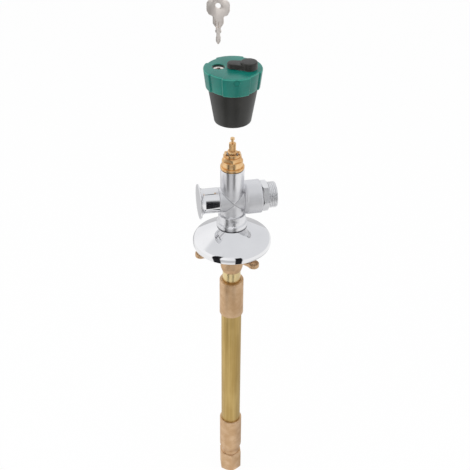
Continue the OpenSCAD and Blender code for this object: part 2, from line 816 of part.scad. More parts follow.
// Turning spindle: square tang, collar, sealed shaft, serrated drive and a grooved tip
module spindle() {
    neck_r = serration_r - serration_depth;
    color(brass) difference() {
        union() {
            translate([-tang_af / 2, -tang_af / 2, tang_top - tang_l])
                cube([tang_af, tang_af, tang_l + over]);
            rotate_extrude() polygon([
                [0, tang_top], [stem_collar_r, tang_top], [stem_collar_r, collar_top],
                [shaft_r, collar_top], [shaft_r, clip_z], [clip_groove_r, clip_z],
                [clip_groove_r, clip_z + clip_t], [shaft_r, clip_z + clip_t], [shaft_r, crown_top - edge],
                [neck_r, serration_z - edge], [neck_r, serration_top], [groove_d / 2, groove_z],
                [groove_d / 2, groove_z + groove_w], [tip_d / 2, groove_z + groove_w],
                [tip_d / 2, spindle_top - edge / 2], [tip_d / 2 - edge / 2, spindle_top], [0, spindle_top]
            ]);
            translate([0, 0, serration_z]) linear_extrude(serration_l)
                polygon(teeth(serration_r, serration_depth, serration_n));
        }
        for (z = o_ring_spots) ring(shaft_r + over, o_ring_groove_r, z, z + o_ring_groove_w);
        translate([0, 0, pin_z]) rotate([90, 0, 0])
            cylinder(r = pin_r + fit_gap, h = 4 * rod_head_r, center = true);
    }
}

module spindle_circlip() {
    color(steel) difference() {
        ring(clip_r, clip_groove_r + fit_gap, clip_z + fit_gap, clip_z + clip_t - fit_gap);
        rotate([0, 0, clip_turn]) translate([0, 0, clip_z - over]) linear_extrude(clip_t + 2 * over)
            polygon([[0, 0], for (side = [-1, 1]) 2 * clip_r * [sin(side * clip_open / 2), cos(clip_open / 2)]]);
    }
}

module spindle_o_rings() {
    color(rubber) for (z = o_ring_spots) translate([0, 0, z + o_ring_groove_w / 2])
        rotate_extrude() translate([o_ring_groove_r + fit_gap + o_ring_wire_r, 0]) circle(r = o_ring_wire_r);
}

// Long rod from the spindle's tang down to the plunger's thread
module operating_rod() {
    socket = tang_af + 2 * fit_gap;
    color(brass) difference() {
        rotate_extrude() polygon([
            [0, rod_end], [rod_thread_d / 2 - edge, rod_end], [rod_thread_d / 2, rod_end + edge],
            [rod_thread_d / 2, rod_shoulder], [rod_d / 2, rod_shoulder + over],
            [rod_d / 2, rod_head_bottom - rod_head_r + rod_d / 2], [rod_head_r, rod_head_bottom],
            [rod_head_r, tang_top - fit_gap], [0, tang_top - fit_gap]
        ]);
        translate([-socket / 2, -socket / 2, tang_top - tang_l - fit_gap])
            cube([socket, socket, tang_l + over]);
        translate([0, 0, pin_z]) rotate([90, 0, 0])
            cylinder(r = pin_r + fit_gap, h = 4 * rod_head_r, center = true);
    }
}

module rod_pin() {
    color(steel) translate([0, 0, pin_z]) rotate([90, 0, 0])
        cylinder(r = pin_r, h = 2 * rod_head_r - edge, center = true);
}

// Two spiders that centre the rod in the long tube and let the water past
module rod_guides() {
    fin_w = 2;
    color(white_plastic) for (z = guide_spots) difference() {
        union() {
            post(rod_d / 2 + guide_wall, z - guide_t / 2, z + guide_t / 2);
            intersection() {
                post(tube_ir - fit_gap, z - guide_t / 2, z + guide_t / 2);
                for (a = [90 : 120 : 330]) rotate([0, 0, a])
                    translate([0, -fin_w / 2, z - guide_t / 2]) cube([tube_od, fin_w, guide_t]);
            }
        }
        post(rod_d / 2 + run_gap, z - guide_t, z + guide_t);
    }
}

// Nut that climbs the rod's thread, kept from turning by two ribs, with flutes for the water
module valve_plunger() {
    rib_r = chamber_r + tube_stop / 2;
    color(brass) difference() {
        intersection() {
            union() {
                post(plunger_r, plunger_z - washer_cup, plunger_top);
                translate([-key_rib_w / 2, -rib_r, plunger_z]) cube([key_rib_w, 2 * rib_r, plunger_l]);
            }
            post(rib_r, plunger_z - washer_cup, plunger_top);
        }
        for (a = [0 : 60 : 120], side = [0, 180]) rotate([0, 0, a - 60 + side])
            translate([plunger_flute_at, 0, 0]) post(plunger_flute_r, plunger_z + edge, plunger_top + over);
        post(washer_r + fit_gap, plunger_z - washer_cup - over, plunger_z);
        post(rod_thread_d / 2 + run_gap, plunger_top - bore_depth, plunger_top + over);
        post(screw_r + fit_gap, plunger_z - over, plunger_z + screw_l + fit_gap);
    }
}

module seat_washer() {
    color(rubber) ring(washer_r, screw_r + fit_gap, washer_z, plunger_z - fit_gap);
}

module washer_screw() {
    color(brass) {
        post(screw_head_r, washer_z - screw_head_h - fit_gap, washer_z - fit_gap);
        post(screw_r, washer_z - over, plunger_z + screw_l);
    }
}

// End fitting: tube socket, plunger chamber, seat, waist and the inlet hexagon
module seat_fitting() {
    color(gunmetal) difference() {
        union() {
            rotate_extrude() polygon([
                [0, inlet_hex_top - over], [waist_d / 2, inlet_hex_top - over], [waist_d / 2, waist_top],
                [fitting_r, inlet_socket_bottom], [fitting_r, fitting_top - fitting_edge],
                [fitting_r - fitting_edge, fitting_top], [0, fitting_top]
            ]);
            rotate([0, 0, inlet_hex_turn]) hex_bar(inlet_hex_af, pipe_end, inlet_hex_top, inlet_chamfer);
        }
        post(tube_od / 2 + fit_gap, tube_bottom - fit_gap, fitting_top + over);
        difference() {
            post(chamber_r, chamber_floor, fitting_top);
            ring(seat_d / 2 + seat_lip_w, seat_d / 2, chamber_floor - over, seat_top);
        }
        intersection() {
            post(tube_ir, chamber_floor + seat_lip_h, fitting_top);
            translate([-key_rib_w / 2 - slide_gap, -tube_od, chamber_floor])
                cube([key_rib_w + 2 * slide_gap, 2 * tube_od, fitting_top - chamber_floor]);
        }
        post(seat_d / 2, pipe_end, chamber_floor + over);
        post(inlet_d / 2, pipe_end - over, pipe_end + inlet_depth);
    }
}

module extension_tube() {
    color(brass) ring(tube_od / 2, tube_ir, tube_bottom, tube_top);
}

module upper_coupling() {
    color(gunmetal) difference() {
        rotate_extrude() polygon([
            [0, coupling_bottom], [coupling_r - fitting_edge, coupling_bottom],
            [coupling_r, coupling_bottom + fitting_edge], [coupling_r, coupling_top - fitting_edge],
            [coupling_r - fitting_edge, coupling_top], [0, coupling_top]
        ]);
        post(waterway_d / 2, coupling_bottom - over, coupling_top + over);
        post(tube_od / 2 + fit_gap, coupling_bottom - over, tube_top + fit_gap);
        post(neck_od / 2 + fit_gap, neck_bottom - fit_gap, coupling_top + over);
    }
}

module neck_tube() {
    color(brass) ring(neck_od / 2, neck_od / 2 - neck_wall, neck_bottom, neck_top);
}

// Cast hub with three screw lugs, a socket for the neck tube and a spigot for the body
module wall_bracket() {
    eye_r = lug_hole_d / 2 + lug_eye_wall;
    reach = lug_pcd / 2;
    color(gunmetal) difference() {
        union() {
            rotate_extrude() polygon([
                [0, -hub_below], [hub_r - hub_taper, -hub_below], [hub_r, hub_taper_l - hub_below],
                [hub_r, hub_above - fit_gap], [spigot_d / 2, hub_above - fit_gap],
                [spigot_d / 2, spigot_top], [0, spigot_top]
            ]);
            for (i = [0 : lugs - 1]) rotate([0, 0, lug_turn + 60 + 360 * i / lugs]) {
                linear_extrude(lug_arm_t) strap(hub_r - 1, eye_r - lug_waist, reach);
                translate([reach, 0, 0]) cylinder(r = eye_r, h = lug_t);
            }
        }
        post(waterway_d / 2, -hub_below - over, spigot_top + over);
        post(neck_od / 2 + fit_gap, -hub_below - over, neck_top + fit_gap);
        for (i = [0 : lugs - 1]) rotate([0, 0, lug_turn + 60 + 360 * i / lugs])
            translate([reach, 0, -over]) cylinder(d = lug_hole_d, h = lug_t + 2 * over);
    }
}

// Pressed cover plate: straight rim, round edge, sloping top and a collar round the neck
module rosette() {
    w = rosette_wall;
    base = rosette_travel;
    centre = [rim_centre_r, base + rim_h];
    under = w / cos(rosette_slope);
    collar_low = rosette_top - rosette_collar_h;
    color(chrome) rotate_extrude() difference() {
        polygon(concat(
            [[rosette_r - w, base], [rosette_r, base]],
            arc(centre, rim_round, 0, 90 - rosette_slope),
            [[land_r, rosette_top], [rosette_hole_r, rosette_top], [rosette_hole_r, collar_low],
             [land_r, collar_low], [land_r, rosette_top - under]],
            arc(centre, rim_round - w, 90 - rosette_slope, 0)
        ));
        translate([rosette_hole_r - over, ring_z]) square([ring_r - rosette_hole_r + over, ring_t]);
    }
}

module rosette_ring() {
    color(rubber) ring(ring_r - fit_gap, body_neck_r + run_gap, ring_z + fit_gap, ring_z + ring_t - fit_gap);
}

// Cone of the handle, open below, with a web that carries the hub and a spigot for the cap
module handle_skirt() {
    slope = (skirt_high_r - skirt_low_r) / (skirt_h - skirt_round);
    web_low = web_top - web_t;
    spigot_in = cap_spigot_r - spigot_wall;
    inner_low = skirt_low_r - skirt_wall;
    inner_web = inner_low + slope * (web_low - skirt_z - skirt_round);
    color(black_plastic) difference() {
        rotate_extrude() polygon(concat(
            [[skirt_mouth_r, skirt_z + edge], [skirt_mouth_r + edge, skirt_z]],
            arc([skirt_low_r - skirt_round, skirt_z + skirt_round], skirt_round, 270, 360),
            [[skirt_high_r, cap_z - fit_gap], [cap_spigot_r, cap_z - fit_gap],
             [cap_spigot_r, cap_z + cap_spigot_h], [spigot_in, cap_z + cap_spigot_h],
             [spigot_in, web_top], [0, web_top], [0, web_low], [inner_web, web_low],
             [inner_low, skirt_z + skirt_lip + over], [skirt_mouth_r, skirt_z + skirt_lip]]
        ));
        post(hub_od / 2 + fit_gap, web_low - over, web_top + over);
    }
}

// Lobed cap: a tapered form with four flutes, the keyhole and the cover's pivot hole
module handle_cap() {
    color(green_plastic) difference() {
        rotate_extrude() polygon(concat(
            [[0, cap_z], [cap_low_r, cap_z]], cap_edge(cap_high_r), [[0, cap_top]]
        ));
        difference() {
            post(cap_inner_r, cap_z - over, cap_ceiling);
            lock_place() post(lock_boss_r, cap_hollow_top, cap_top);
            post(stud_r + stud_boss_wall, stud_boss_z, cap_top);
        }
        lock_place() post(lock_r + fit_gap, cap_z - over, lock_face);
        lock_place() post(keyhole_d / 2, lock_face - fit_gap, cap_top + over);
        post(stud_r + run_gap, cap_z, cap_top + over);
        for (i = [0 : panels - 1]) handle_place() rotate([0, 0, panel_turn + 360 * i / panels]) {
            translate([cap_high_r - mark_cut, 0, mark_z]) rotate([0, 90, 0])
                cylinder(d = mark_d, h = cap_high_r);
            rotate([0, 0, 180 / panels - flute_angle / 2]) flute_cut();
        }
    }
}

// The cap's rounded top edge, for a side of this radius
function cap_edge(high) =
    arc([high - cap_round - taper * cap_round, cap_top - cap_round], cap_round, 0, 90);

// What one flute takes off the cap's side
module flute_cut() {
    floor_r = cap_high_r - flute_depth;
    far = 2 * cap_high_r;
    rotate_extrude(angle = flute_angle) polygon(concat(
        [[cap_low_r - flute_depth - taper * over, cap_z - over]],
        cap_edge(floor_r),
        [[floor_r - cap_round - taper * cap_round, cap_top + over], [far, cap_top + over], [far, cap_z - over]]
    ));
}

// Serrated brass insert that fits the spindle
module handle_hub() {
    color(brass) handle_place() difference() {
        post(hub_od / 2, hub_z, web_top);
        rotate([0, 0, -handle_turn]) translate([0, 0, hub_z - over]) linear_extrude(serration_l + 2 * over)
            polygon(teeth(serration_r + slide_gap / 2, serration_depth, serration_n));
    }
}

// Lock housing with a lip that keeps the plug in
module lock_barrel() {
    color(nickel) lock_place() difference() {
        post(lock_r, lock_bottom, lock_face - fit_gap);
        post(plug_r + run_gap, lock_bottom - over, lock_face - lock_lip);
        post(plug_lip_r, lock_bottom, lock_face + over);
    }
}

// Turning plug with a cross shaped keyway, and a tail that carries the cam
module lock_plug() {
    slot_w = blade_w + 2 * bump + 2 * slide_gap;
    slot_t = key_t + 2 * slide_gap;
    color(nickel) lock_place() difference() {
        union() {
            post(plug_r, cam_top, plug_top);
            post(tail_r, cam_top - tail_l, cam_top + over);
        }
        translate([-slot_w / 2, -slot_t / 2, keyway_floor]) cube([slot_w, slot_t, blade_l + over]);
        translate([-slot_t / 2, -blade_w / 2, keyway_floor]) cube([slot_t, blade_w, blade_l + over]);
    }
}

// Finger on the plug that swings into the spindle's groove when the lock is shut
module lock_cam() {
    color(steel) lock_place() rotate([0, 0, -90]) difference() {
        translate([0, 0, cam_z]) linear_extrude(cam_t - fit_gap)
            strap(cam_hub_r, cam_tip_r, cam_reach - cam_tip_r);
        post(tail_r + fit_gap, cam_z - over, cam_top + over);
    }
}

// Swivelling cover: a bar with a raised round end, on a stud through the cap
module keyhole_cover() {
    disc_r = cover_disc_d / 2;
    disc_round = 1.2;
    color(black_plastic) handle_place() {
        translate([0, 0, cover_z]) linear_extrude(cover_bar_h)
            strap(cover_bar_w / 2, cover_bar_w / 2, cover_reach);
        translate([cover_reach, 0, 0]) rotate_extrude() polygon(concat(
            [[0, cover_z], [disc_r, cover_z]],
            arc([disc_r - disc_round, cover_z + cover_disc_h - disc_round], disc_round, 0, 90),
            [[0, cover_z + cover_disc_h]]
        ));
        post(stud_r, cover_clip_z - 1, cover_z + over);
    }
}

// Push-on ring under the cap's top
module cover_clip() {
    color(steel) ring(stud_r + clip_wall, stud_r + fit_gap, cover_clip_z, cover_clip_z + cover_clip_t);
}

// Flat key with a two sided blade, a grooved shoulder and a bow with a hole
module key() {
    groove = 0.5;
    color(nickel) lock_place() translate([0, 0, key_z]) difference() {
        rotate([90, 0, 0]) linear_extrude(key_t, center = true) difference() {
            union() {
                key_blade();
                key_bow();
            }
            translate([0, bow_hole_z]) circle(d = bow_hole_d);
        }
        for (slot = [[-2.2, 1.1, 0.2, 7.6], [0.5, 0.8, 2, 4]])
            translate([slot[0], -key_t / 2 - over, blade_l + slot[2]])
                cube([slot[1], groove + over, slot[3]]);
    }
}

// Outline of the blade and the shoulder above it
module key_blade() {
    half = blade_w / 2;
    side = [
        [0.3, 0], [half - 0.4, tip_taper], [half, tip_taper + 2], [half - bump, tip_taper + 4],
        [half - bump, blade_l - 5], [half + bump, blade_l - 3.6], [half + bump, blade_l - 2.8],
        [half, blade_l - 1.6], [half, blade_l], [shoulder_w / 2, blade_l + 4.2],
        [shoulder_w / 2, bow_z + bow_h / 2]
    ];
    mirrored = [for (i = [len(side) - 1 : -1 : 0]) [-side[i][0], side[i][1]]];
    polygon(concat(side, mirrored));
}

// Outline of the bow: a block with round corners, sloping shoulders and a hanging lug
module key_bow() {
    half = bow_w / 2;
    inset = half - bow_round;
    for (side = [-1, 1], high = [bow_round, bow_h - bow_round])
        translate([side * inset, bow_z + high]) circle(r = bow_round);
    translate([-inset, bow_z]) square([2 * inset, bow_h]);
    translate([-half, bow_z + bow_round]) square([bow_w, bow_h - 2 * bow_round]);
    translate([-key_lug_w / 2, bow_z + bow_h / 2]) square([key_lug_w, bow_h / 2 + key_lug_h - 1.5]);
    translate([-key_lug_w / 2 + 1.5, bow_z + bow_h / 2]) square([key_lug_w - 3, bow_h / 2 + key_lug_h]);
    for (side = [-1, 1]) translate([side * (key_lug_w / 2 - 1.5), bow_z + bow_h + key_lug_h - 1.5])
        circle(r = 1.5);
}

valve_body();
vent_cap();
vent_float();
vent_seat_ring();
hose_connector();
connector_washer();
check_valve_cage();
check_valve_poppet();
check_valve_spring();
check_valve_o_ring();
bonnet();
bonnet_gasket();
spindle();
spindle_circlip();
spindle_o_rings();
operating_rod();
rod_pin();
rod_guides();
valve_plunger();
seat_washer();
washer_screw();
seat_fitting();
extension_tube();
upper_coupling();
neck_tube();
wall_bracket();
rosette();
rosette_ring();
handle_skirt();
handle_cap();
handle_hub();
lock_barrel();
lock_plug();
lock_cam();
keyhole_cover();
cover_clip();
key();
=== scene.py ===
# %% [markdown]
# # A lockable frost free sillcock
#
# This garden tap goes through a house wall: its valve sits at the indoor end of a long
# brass pipe, where frost can't reach it. Outside show a chrome cover plate, a cast chrome
# cross with a hose thread and a pipe vent, a brass head, and a locking handle with its key.
# The CAD parts are the fixed frame. Some stay and get a finish, and the pieces that show
# their curves and edges are modelled again here by hand tools, in the same place.

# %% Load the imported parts
import json
import math

import bmesh
import bpy
from mathutils import Matrix, Vector


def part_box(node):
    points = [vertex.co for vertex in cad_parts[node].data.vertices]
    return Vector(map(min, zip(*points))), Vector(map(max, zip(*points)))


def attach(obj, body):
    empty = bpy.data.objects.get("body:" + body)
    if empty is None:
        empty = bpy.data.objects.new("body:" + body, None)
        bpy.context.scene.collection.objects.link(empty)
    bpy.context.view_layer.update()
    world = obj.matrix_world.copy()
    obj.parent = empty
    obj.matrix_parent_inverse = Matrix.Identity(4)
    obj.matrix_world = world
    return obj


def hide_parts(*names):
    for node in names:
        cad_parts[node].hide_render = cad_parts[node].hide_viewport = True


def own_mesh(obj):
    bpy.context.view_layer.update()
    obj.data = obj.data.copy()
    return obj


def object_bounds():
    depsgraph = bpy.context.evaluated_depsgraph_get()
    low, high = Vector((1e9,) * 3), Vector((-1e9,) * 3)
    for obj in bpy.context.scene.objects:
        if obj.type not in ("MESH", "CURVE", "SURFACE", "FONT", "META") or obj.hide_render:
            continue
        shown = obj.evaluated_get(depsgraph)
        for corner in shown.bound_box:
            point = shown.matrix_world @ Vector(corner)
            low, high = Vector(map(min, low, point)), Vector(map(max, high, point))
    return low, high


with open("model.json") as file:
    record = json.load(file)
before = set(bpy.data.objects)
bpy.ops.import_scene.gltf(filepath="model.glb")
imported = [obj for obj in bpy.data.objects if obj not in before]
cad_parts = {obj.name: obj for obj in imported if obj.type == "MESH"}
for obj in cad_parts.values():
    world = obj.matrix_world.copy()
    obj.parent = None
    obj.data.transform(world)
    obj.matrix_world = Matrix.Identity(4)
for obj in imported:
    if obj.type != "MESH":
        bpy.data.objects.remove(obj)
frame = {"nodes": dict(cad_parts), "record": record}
cad_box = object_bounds()

# %% [markdown]
# ## The camera and the studio
#
# The tap was photographed from above and a little to its left, with a long lens. The
# camera stands where a fit to the photograph's outlines puts it: 717 mm from the pipe's
# axis, 524 mm above the wall's plane, and looking 35 degrees down. A long lens keeps the
# upright lines nearly parallel.

# %% Camera
PHOTO_SIDE = 470
FOCAL_PIXELS = 850
SENSOR_MM = 36
camera_turn = math.radians(-11.5)
camera_reach, camera_height = 0.7166, 0.5238
AIM_ASIDE, LOOK_DOWN, ROLL = 0.257, 35, 0.55
bpy.ops.object.select_all(action="DESELECT")
bpy.ops.object.camera_add(
    location=(
        camera_reach * math.sin(camera_turn),
        -camera_reach * math.cos(camera_turn),
        camera_height,
    )
)
camera = bpy.context.object
aim = Matrix.Rotation(camera_turn - math.radians(AIM_ASIDE), 4, "Z")
pitch = Matrix.Rotation(math.radians(90 - LOOK_DOWN), 4, "X")
roll = Matrix.Rotation(math.radians(ROLL), 4, "Z")
camera.rotation_euler = (aim @ pitch @ roll).to_euler()
camera.data.sensor_width = SENSOR_MM
camera.data.lens = FOCAL_PIXELS / PHOTO_SIDE * SENSOR_MM
bpy.context.scene.camera = camera
print("lens", round(camera.data.lens, 1), "mm")

# %% [markdown]
# Shader maths is easier to read as expressions. A Field holds one socket of a node tree.
# Arithmetic on it adds Math nodes, and its node method adds any other node, sets it up and
# links what it is given.


# %% A field of values over a surface
class Field:
    def __init__(self, tree, socket=None):
        self.tree, self.socket = tree, socket

    def node(self, kind, settings=None, links=None, out=0):
        made = self.tree.nodes.new(kind)
        for name, value in (settings or {}).items():
            if name == "stops":
                ramp = made.color_ramp
                while len(ramp.elements) < len(value):
                    ramp.elements.new(0.5)
                for stop, (place, colour) in zip(ramp.elements, value):
                    stop.position, stop.color = place, colour
            else:
                setattr(made, name, value)
        for name, value in (links or {}).items():
            if isinstance(value, Field):
                self.tree.links.new(value.socket, made.inputs[name])
            else:
                made.inputs[name].default_value = value
        return Field(self.tree, made.outputs[out] if made.outputs else None)

    def math(self, operation, a, b):
        return self.node("ShaderNodeMath", {"operation": operation}, {0: a, 1: b})

    def __add__(self, other):
        return self.math("ADD", self, other)

    def __sub__(self, other):
        return self.math("SUBTRACT", self, other)

    def __rsub__(self, other):
        return self.math("SUBTRACT", other, self)

    def __mul__(self, other):
        return self.math("MULTIPLY", self, other)

    __radd__ = __add__
    __rmul__ = __mul__

    def noise(self, scale, detail=2.0, stretch=(1, 1, 1)):
        """Cloudy values from 0 to 1, with scale in features per metre, pulled out by stretch."""
        place = self.node("ShaderNodeTexCoord", out="Object")
        if stretch != (1, 1, 1):
            place = self.node("ShaderNodeMapping", None, {"Vector": place, "Scale": stretch})
        return self.node("ShaderNodeTexNoise", None, {"Vector": place, "Scale": scale, "Detail": detail})

    def rings(self, axis, scale, distortion):
        """The lines that a lathe tool leaves, as waves from 0 to 1 along X, Y or Z."""
        return self.node(
            "ShaderNodeTexWave",
            {"wave_type": "BANDS", "bands_direction": axis},
            {
                "Vector": self.node("ShaderNodeTexCoord", out="Object"),
                "Scale": scale,
                "Distortion": distortion,
                "Detail": 1.0,
            },
        )

    def along(self, axis):
        """How far a point is along X, Y or Z, in metres."""
        place = self.node("ShaderNodeTexCoord", out="Object")
        return self.node("ShaderNodeSeparateXYZ", None, {0: place}, out=axis)

    def ramp(self, low, high):
        """0 below low, 1 above high and a smooth step between them."""
        return self.node(
            "ShaderNodeMapRange",
            {"interpolation_type": "SMOOTHSTEP"},
            {"Value": self, "From Min": low, "From Max": high},
        )

    def mix(self, first, second):
        """The first colour where the field is 0, and the second where it is 1."""
        return self.node("ShaderNodeMix", {"data_type": "RGBA"}, {0: self, 6: first, 7: second}, out=2)

    def bump(self, distance, strength=1.0):
        """A normal that is tilted by this height field, with distance in metres."""
        return self.node("ShaderNodeBump", None, {"Height": self, "Distance": distance, "Strength": strength})


def srgb(red, green, blue):
    """A colour as it looks on a screen, from 0 to 255, in the linear values of a shader."""
    shares = [level / 255 for level in (red, green, blue)]
    return tuple(c / 12.92 if c < 0.04045 else ((c + 0.055) / 1.055) ** 2.4 for c in shares) + (1,)


print("grey 128 is", round(srgb(128, 128, 128)[0], 3))

# %% [markdown]
# ## White paper all round
#
# The photograph has a plain white ground. The floor is a wide white sheet under the pipe's
# end. Polished metal shows its surroundings, so a studio for chrome is white with a few dark
# gaps between its sheets. Here two gaps open in front of the tap, one to the right of the
# camera and one further to the left. They draw the dark bars on the cover plate's rim, on
# the vent's barrel and on the upright tube. The sheet is also greyer far out in front, at
# the back and close by on the right, as paper is in the shade of a camera, of a wall and of
# a table's edge. The camera itself sees none of this.


# %% The gaps between the sheets
# Each gap's bearing and half width, in degrees, and the height at which it ends in the sky.
GAPS = ((-54.0, 12.0, 0.97), (8.0, 10.0, 0.78))
GAP_BLACK = (0.012, 0.012, 0.014, 1)


def bearing(place):
    """The bearing of a point or a direction from the tap: 0 in front, and growing to the right."""
    across = place.node("ShaderNodeSeparateXYZ", None, {0: place}, out="X")
    ahead = place.node("ShaderNodeSeparateXYZ", None, {0: place}, out="Y") * -1.0
    return place.math("ARCTAN2", across, ahead)


def within(angle, middle, half, soft=3.0):
    """1 where an angle lies within half a width of a middle, in degrees, with a soft border."""
    away = angle.math("ABSOLUTE", angle - math.radians(middle), 0.0)
    return away.ramp(math.radians(half + soft / 3), math.radians(half - soft * 2 / 3))


def gaps(place, height=None):
    """1 at the bearing of a gap. In the sky a gap ends at a height of its own."""
    dark = 0.0
    for middle, half, top in GAPS:
        gap = within(bearing(place), middle, half)
        dark = (gap * height.ramp(top, top - 0.2) if height else gap) + dark
    return dark


print("gaps at", [gap[0] for gap in GAPS], "degrees")

# %% Floor
FLOOR_SIDE, FLOOR_DROP = 8, 0.0005
bpy.ops.object.select_all(action="DESELECT")
bpy.ops.mesh.primitive_plane_add(size=FLOOR_SIDE, location=(0, 0, cad_box[0].z - FLOOR_DROP))
floor = bpy.context.object
floor.name = "paper_floor"
print("floor at", round(floor.location.z, 4))

# %% [markdown]
# To the camera the sheet is white light with a small share of plain paper, which keeps a trace
# of the tap's shadow. To reflections it has its gaps and its shade, by bearing and reach.

# %% Paper
FLOOR_WHITE, FLOOR_MIRRORED = 0.95, 0.99
PAPER_SHADE = (0.62, 0.62, 0.63, 1)
paper = bpy.data.materials.new("white_paper")
paper.use_nodes = True
paper.node_tree.nodes.clear()
field = Field(paper.node_tree)
camera_ray = field.node("ShaderNodeLightPath", out="Is Camera Ray")
glossy_ray = field.node("ShaderNodeLightPath", out="Is Glossy Ray")
clear_ray = field.node("ShaderNodeLightPath", out="Is Transmission Ray")
spot = field.node("ShaderNodeTexCoord", out="Object")
reach = field.node("ShaderNodeVectorMath", {"operation": "LENGTH"}, {0: spot}, out="Value")
dark = gaps(spot) * reach.ramp(0.33, 0.40) * glossy_ray
turn = bearing(spot)
behind = turn.math("ABSOLUTE", turn, 0.0).ramp(math.radians(135), math.radians(155))
far = (within(turn, -15, 34, 12) + behind) * reach.ramp(0.44, 0.54)
near = within(turn, 85, 50, 24) * reach.ramp(0.50, 0.42)
shade = (far + near * 0.8) * glossy_ray
grain = field.noise(90)
sheet = field.node(
    "ShaderNodeBsdfDiffuse", None, {"Color": grain.mix((0.82, 0.82, 0.82, 1), (0.86, 0.86, 0.86, 1))}
)
tone = shade.mix((1, 1, 1, 1), PAPER_SHADE)
glow = field.node("ShaderNodeEmission", None, {"Color": dark.mix(tone, GAP_BLACK)})
seen = camera_ray * FLOOR_WHITE + glossy_ray * FLOOR_MIRRORED + clear_ray * FLOOR_WHITE
blend = field.node("ShaderNodeMixShader", None, {0: seen, 1: sheet, 2: glow})
field.node("ShaderNodeOutputMaterial", None, {"Surface": blend})
floor.data.materials.append(paper)
print("paper finished")

# %% [markdown]
# ## Light
#
# The sky is white to the camera. To the metal it is a soft tent that is brighter on the left
# than on the right and a little greyer overhead, with the two gaps a good way up. Three soft
# boxes light the plastic parts, and reflections don't see them.

# %% Sky
TENT_LIT, TENT_SHADED = (1.06, 1.06, 1.07, 1), (0.82, 0.83, 0.85, 1)
world = bpy.data.worlds.new("studio")
bpy.context.scene.world = world
world.use_nodes = True
world.node_tree.nodes.clear()
field = Field(world.node_tree)
camera_ray = field.node("ShaderNodeLightPath", out="Is Camera Ray")
towards = field.node("ShaderNodeTexCoord", out="Generated")
height = field.node("ShaderNodeSeparateXYZ", None, {0: towards}, out="Z")
side = field.node("ShaderNodeSeparateXYZ", None, {0: towards}, out="X")
tent = side.ramp(-0.75, 0.55).mix(TENT_LIT, TENT_SHADED)
overhead = height + field.math("ABSOLUTE", side, 0.0) * 0.35
tent = overhead.ramp(0.89, 0.985).mix(tent, TENT_SHADED)
dark = gaps(towards, height)
sky = field.node("ShaderNodeBackground", None, {"Color": dark.mix(tent, GAP_BLACK), "Strength": 1.0})
white = field.node("ShaderNodeBackground", None, {"Color": (1, 1, 1, 1), "Strength": 1.0})
both = field.node("ShaderNodeMixShader", None, {0: camera_ray, 1: sky, 2: white})
field.node("ShaderNodeOutputWorld", None, {"Surface": both})
print("sky made")

# %% Soft boxes
LAMP_AIM = Vector((0, 0, 0.05))


def soft_box(name, place, size, power):
    """A large lamp that faces the tap's middle and doesn't show in the metal."""
    bpy.ops.object.light_add(type="AREA", location=place)
    lamp = bpy.context.object
    lamp.name = name
    lamp.data.shape = "RECTANGLE"
    lamp.data.size, lamp.data.size_y = size
    lamp.data.energy = power
    lamp.rotation_euler = (LAMP_AIM - lamp.location).to_track_quat("-Z", "Y").to_euler()
    lamp.visible_glossy = False


soft_box("left_box", (-1.3, -0.7, 0.9), (0.9, 1.2), 8)
soft_box("right_box", (1.2, -0.9, 0.7), (0.5, 1.1), 3)
soft_box("top_box", (0.0, 0.2, 1.7), (1.2, 1.2), 6)
print("lamps made")

# %% [markdown]
# ## Finishes
#
# Every finish is built from small irregularities at their real scale: turning lines, the
# sand of a casting, the streaks of drawn tube, the grain of a moulding. They change the
# colour and the gloss a little, and tilt the surface by hundredths of a millimetre.

# %% How a finish is put together
FINISHES = {}


def finish(name, colour, roughness, normal=None, **fixed):
    """A material whose colour, roughness and normal may be fields, and whose other values are fixed."""
    made = FINISHES[name]
    shader = made.node_tree.nodes["Principled BSDF"]
    for socket, value in {"Base Color": colour, "Roughness": roughness, "Normal": normal}.items():
        if isinstance(value, Field):
            made.node_tree.links.new(value.socket, shader.inputs[socket])
        elif value is not None:
            shader.inputs[socket].default_value = value
    for socket, value in fixed.items():
        shader.inputs[socket.replace("_", " ").title()].default_value = value
    print("finish", name)


def start(name):
    """A new material with its shader, and a field to build on."""
    FINISHES[name] = bpy.data.materials.new(name)
    FINISHES[name].use_nodes = True
    return Field(FINISHES[name].node_tree)


# %% [markdown]
# The cover plate and the vent's cap are pressed and turned, buffed to a mirror and plated.
# Buffing leaves a faint waviness and hairline wipe marks, so the gloss isn't quite even.

# %% Polished chrome
f = start("polished_chrome")
wipe = f.noise(700, 3, (1, 0.08, 1))
cloud = f.noise(45)
finish(
    "polished_chrome",
    cloud.mix(srgb(226, 226, 228), srgb(238, 238, 239)),
    0.03 + cloud * 0.025 + wipe * 0.025,
    cloud.bump(0.00010, 0.25),
    metallic=1.0,
)
